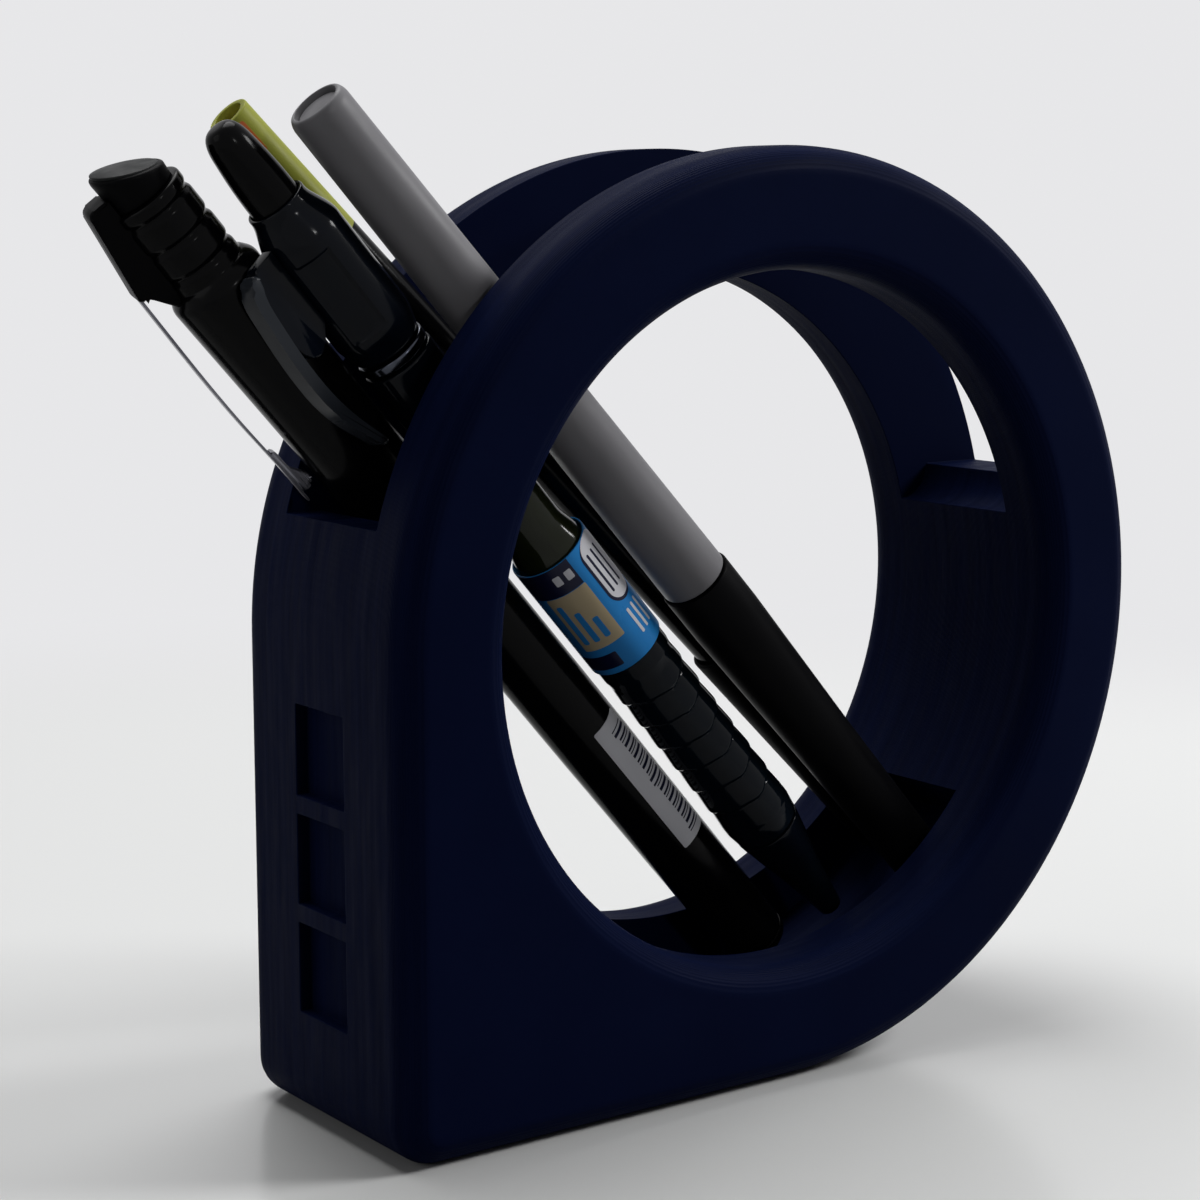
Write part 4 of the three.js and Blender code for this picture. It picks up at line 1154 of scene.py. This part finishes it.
PEN_PIECES = (
    (ROLLER, (
        roller_tail, roller_tube, roller_grip, roller_tip, roller_cap, roller_crown, roller_crown_disc,
        roller_clip_block, roller_clip, roller_sticker,
    )),
    (GEL, (
        gel_nose, gel_bottle, gel_bottle_neck, gel_label, gel_neck_cap, gel_collar, gel_barrel, gel_clip,
        gel_button, gel_point, gel_refill, gel_spring,
    )),
    (MARKER, (marker_cap, marker_barrel, marker_plug, marker_section, marker_nib)),
    (STICK, (stick_cap, stick_barrel, stick_plug, stick_refill, stick_point)),
)


# Stage

PALE = (0.8, 0.8, 0.815)
FLOOR_PALE = (0.72, 0.725, 0.72)
FLOOR_BOUNCE = (0.12, 0.12, 0.12)
FLOOR_ROUGHNESS = 0.22
FLOOR_SPECULAR = 0.4
FLOOR_RADIUS = 2.5
FLOOR_SIDES = 96
WORLD_FILL = 0.06
FADE_START = 0.24
FADE_END = 0.42

# Lamps: place and size in metres, power in watts. The floor doesn't catch the glint
LAMPS = {
    "top": ((0.1, 0.3, 1.05), 0.8, 9),
    "right": ((0.85, -0.4, 0.65), 0.35, 8),
    "left": ((-0.95, 0.05, 0.45), 0.6, 0.9),
    "glint": ((-0.05, -1, 0.42), 0.1, 1),
}


def seen_directly(tree):
    """1 for camera, glossy and transmission rays"""
    path = add(tree, "ShaderNodeLightPath").outputs
    either = {0: path["Is Camera Ray"], 1: path["Is Glossy Ray"]}
    either = add(tree, "ShaderNodeMath", either, operation="MAXIMUM").outputs[0]
    any_ray = {0: either, 1: path["Is Transmission Ray"]}
    return add(tree, "ShaderNodeMath", any_ray, operation="MAXIMUM").outputs[0]


def build_floor():
    look = bpy.data.materials.new("pale_floor")
    look.use_nodes = True
    tree = look.node_tree
    shader = tree.nodes["Principled BSDF"]
    seen = seen_directly(tree)
    colours = {0: seen, 6: (*FLOOR_BOUNCE, 1), 7: (*FLOOR_PALE, 1)}
    colour = add(tree, "ShaderNodeMix", colours, data_type="RGBA")
    tree.links.new(colour.outputs[2], shader.inputs["Base Color"])
    shader.inputs["Roughness"].default_value = FLOOR_ROUGHNESS
    shader.inputs["Specular IOR Level"].default_value = FLOOR_SPECULAR
    glow = add(tree, "ShaderNodeEmission", {"Color": (*PALE, 1), "Strength": 1})
    distance = add(tree, "ShaderNodeVectorMath", {0: place_of(tree)}, operation="LENGTH").outputs["Value"]
    fade = add(tree, "ShaderNodeMapRange", {"Value": distance, "From Min": FADE_START, "From Max": FADE_END},
               interpolation_type="SMOOTHSTEP").outputs["Result"]
    factor = add(tree, "ShaderNodeMath", {0: fade, 1: seen}, operation="MULTIPLY").outputs[0]
    shades = {0: factor, 1: shader.outputs[0], 2: glow.outputs[0]}
    mix = add(tree, "ShaderNodeMixShader", shades)
    tree.links.new(mix.outputs[0], tree.nodes["Material Output"].inputs["Surface"])
    bm = bmesh.new()
    bmesh.ops.create_circle(bm, cap_ends=True, segments=FLOOR_SIDES, radius=FLOOR_RADIUS)
    mesh = bpy.data.meshes.new("floor")
    bm.to_mesh(mesh)
    bm.free()
    mesh.materials.append(look)
    floor = new_object("floor", mesh)
    floor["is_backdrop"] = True
    return floor


def build_world():
    world = bpy.data.worlds.new("studio")
    scene.world = world
    world.use_nodes = True
    tree = world.node_tree
    back = tree.nodes["Background"]
    seen = seen_directly(tree)
    strength = add(tree, "ShaderNodeMapRange", {"Value": seen, "To Min": WORLD_FILL, "To Max": 1})
    back.inputs["Color"].default_value = (*PALE, 1)
    tree.links.new(strength.outputs["Result"], back.inputs["Strength"])


def lamp(name, place, size, power):
    data = bpy.data.lights.new(name, "AREA")
    data.shape = "DISK"
    data.size = size
    data.energy = power
    obj = new_object(name, data)
    obj.location = place
    towards = RING_CENTRE * mm - Vector(place)
    obj.rotation_euler = towards.to_track_quat("-Z", "Y").to_euler()
    return obj


def spare(light, obj):
    """Keeps a lamp's light off one object, so that it doesn't mirror the lamp"""
    left_out = bpy.data.collections.new("left_out")
    left_out.objects.link(obj)
    light.light_linking.receiver_collection = left_out
    left_out.collection_objects[0].light_linking.link_state = "EXCLUDE"


def build_camera():
    data = bpy.data.cameras.new("camera")
    data.lens = CAMERA_LENS
    data.sensor_width = CAMERA_SENSOR
    data.sensor_fit = "HORIZONTAL"
    obj = new_object("camera", data)
    obj.location = CAMERA_PLACE * mm
    obj.rotation_euler = (radians(90 + CAMERA_PITCH), 0, radians(-CAMERA_YAW))
    scene.camera = obj


finish_nodes()
build_camera()
build_holder()
for pen, builds in PEN_PIECES:
    for build in builds:
        build(pen)
floor = build_floor()
build_world()
lamps = {name: lamp(name, *light) for name, light in LAMPS.items()}
spare(lamps["glint"], floor)
scene.view_settings.view_transform = "Standard"

boxes = {"cad": cad_box, "visual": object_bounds()}
{name: [list(corner) for corner in box] for name, box in boxes.items()}
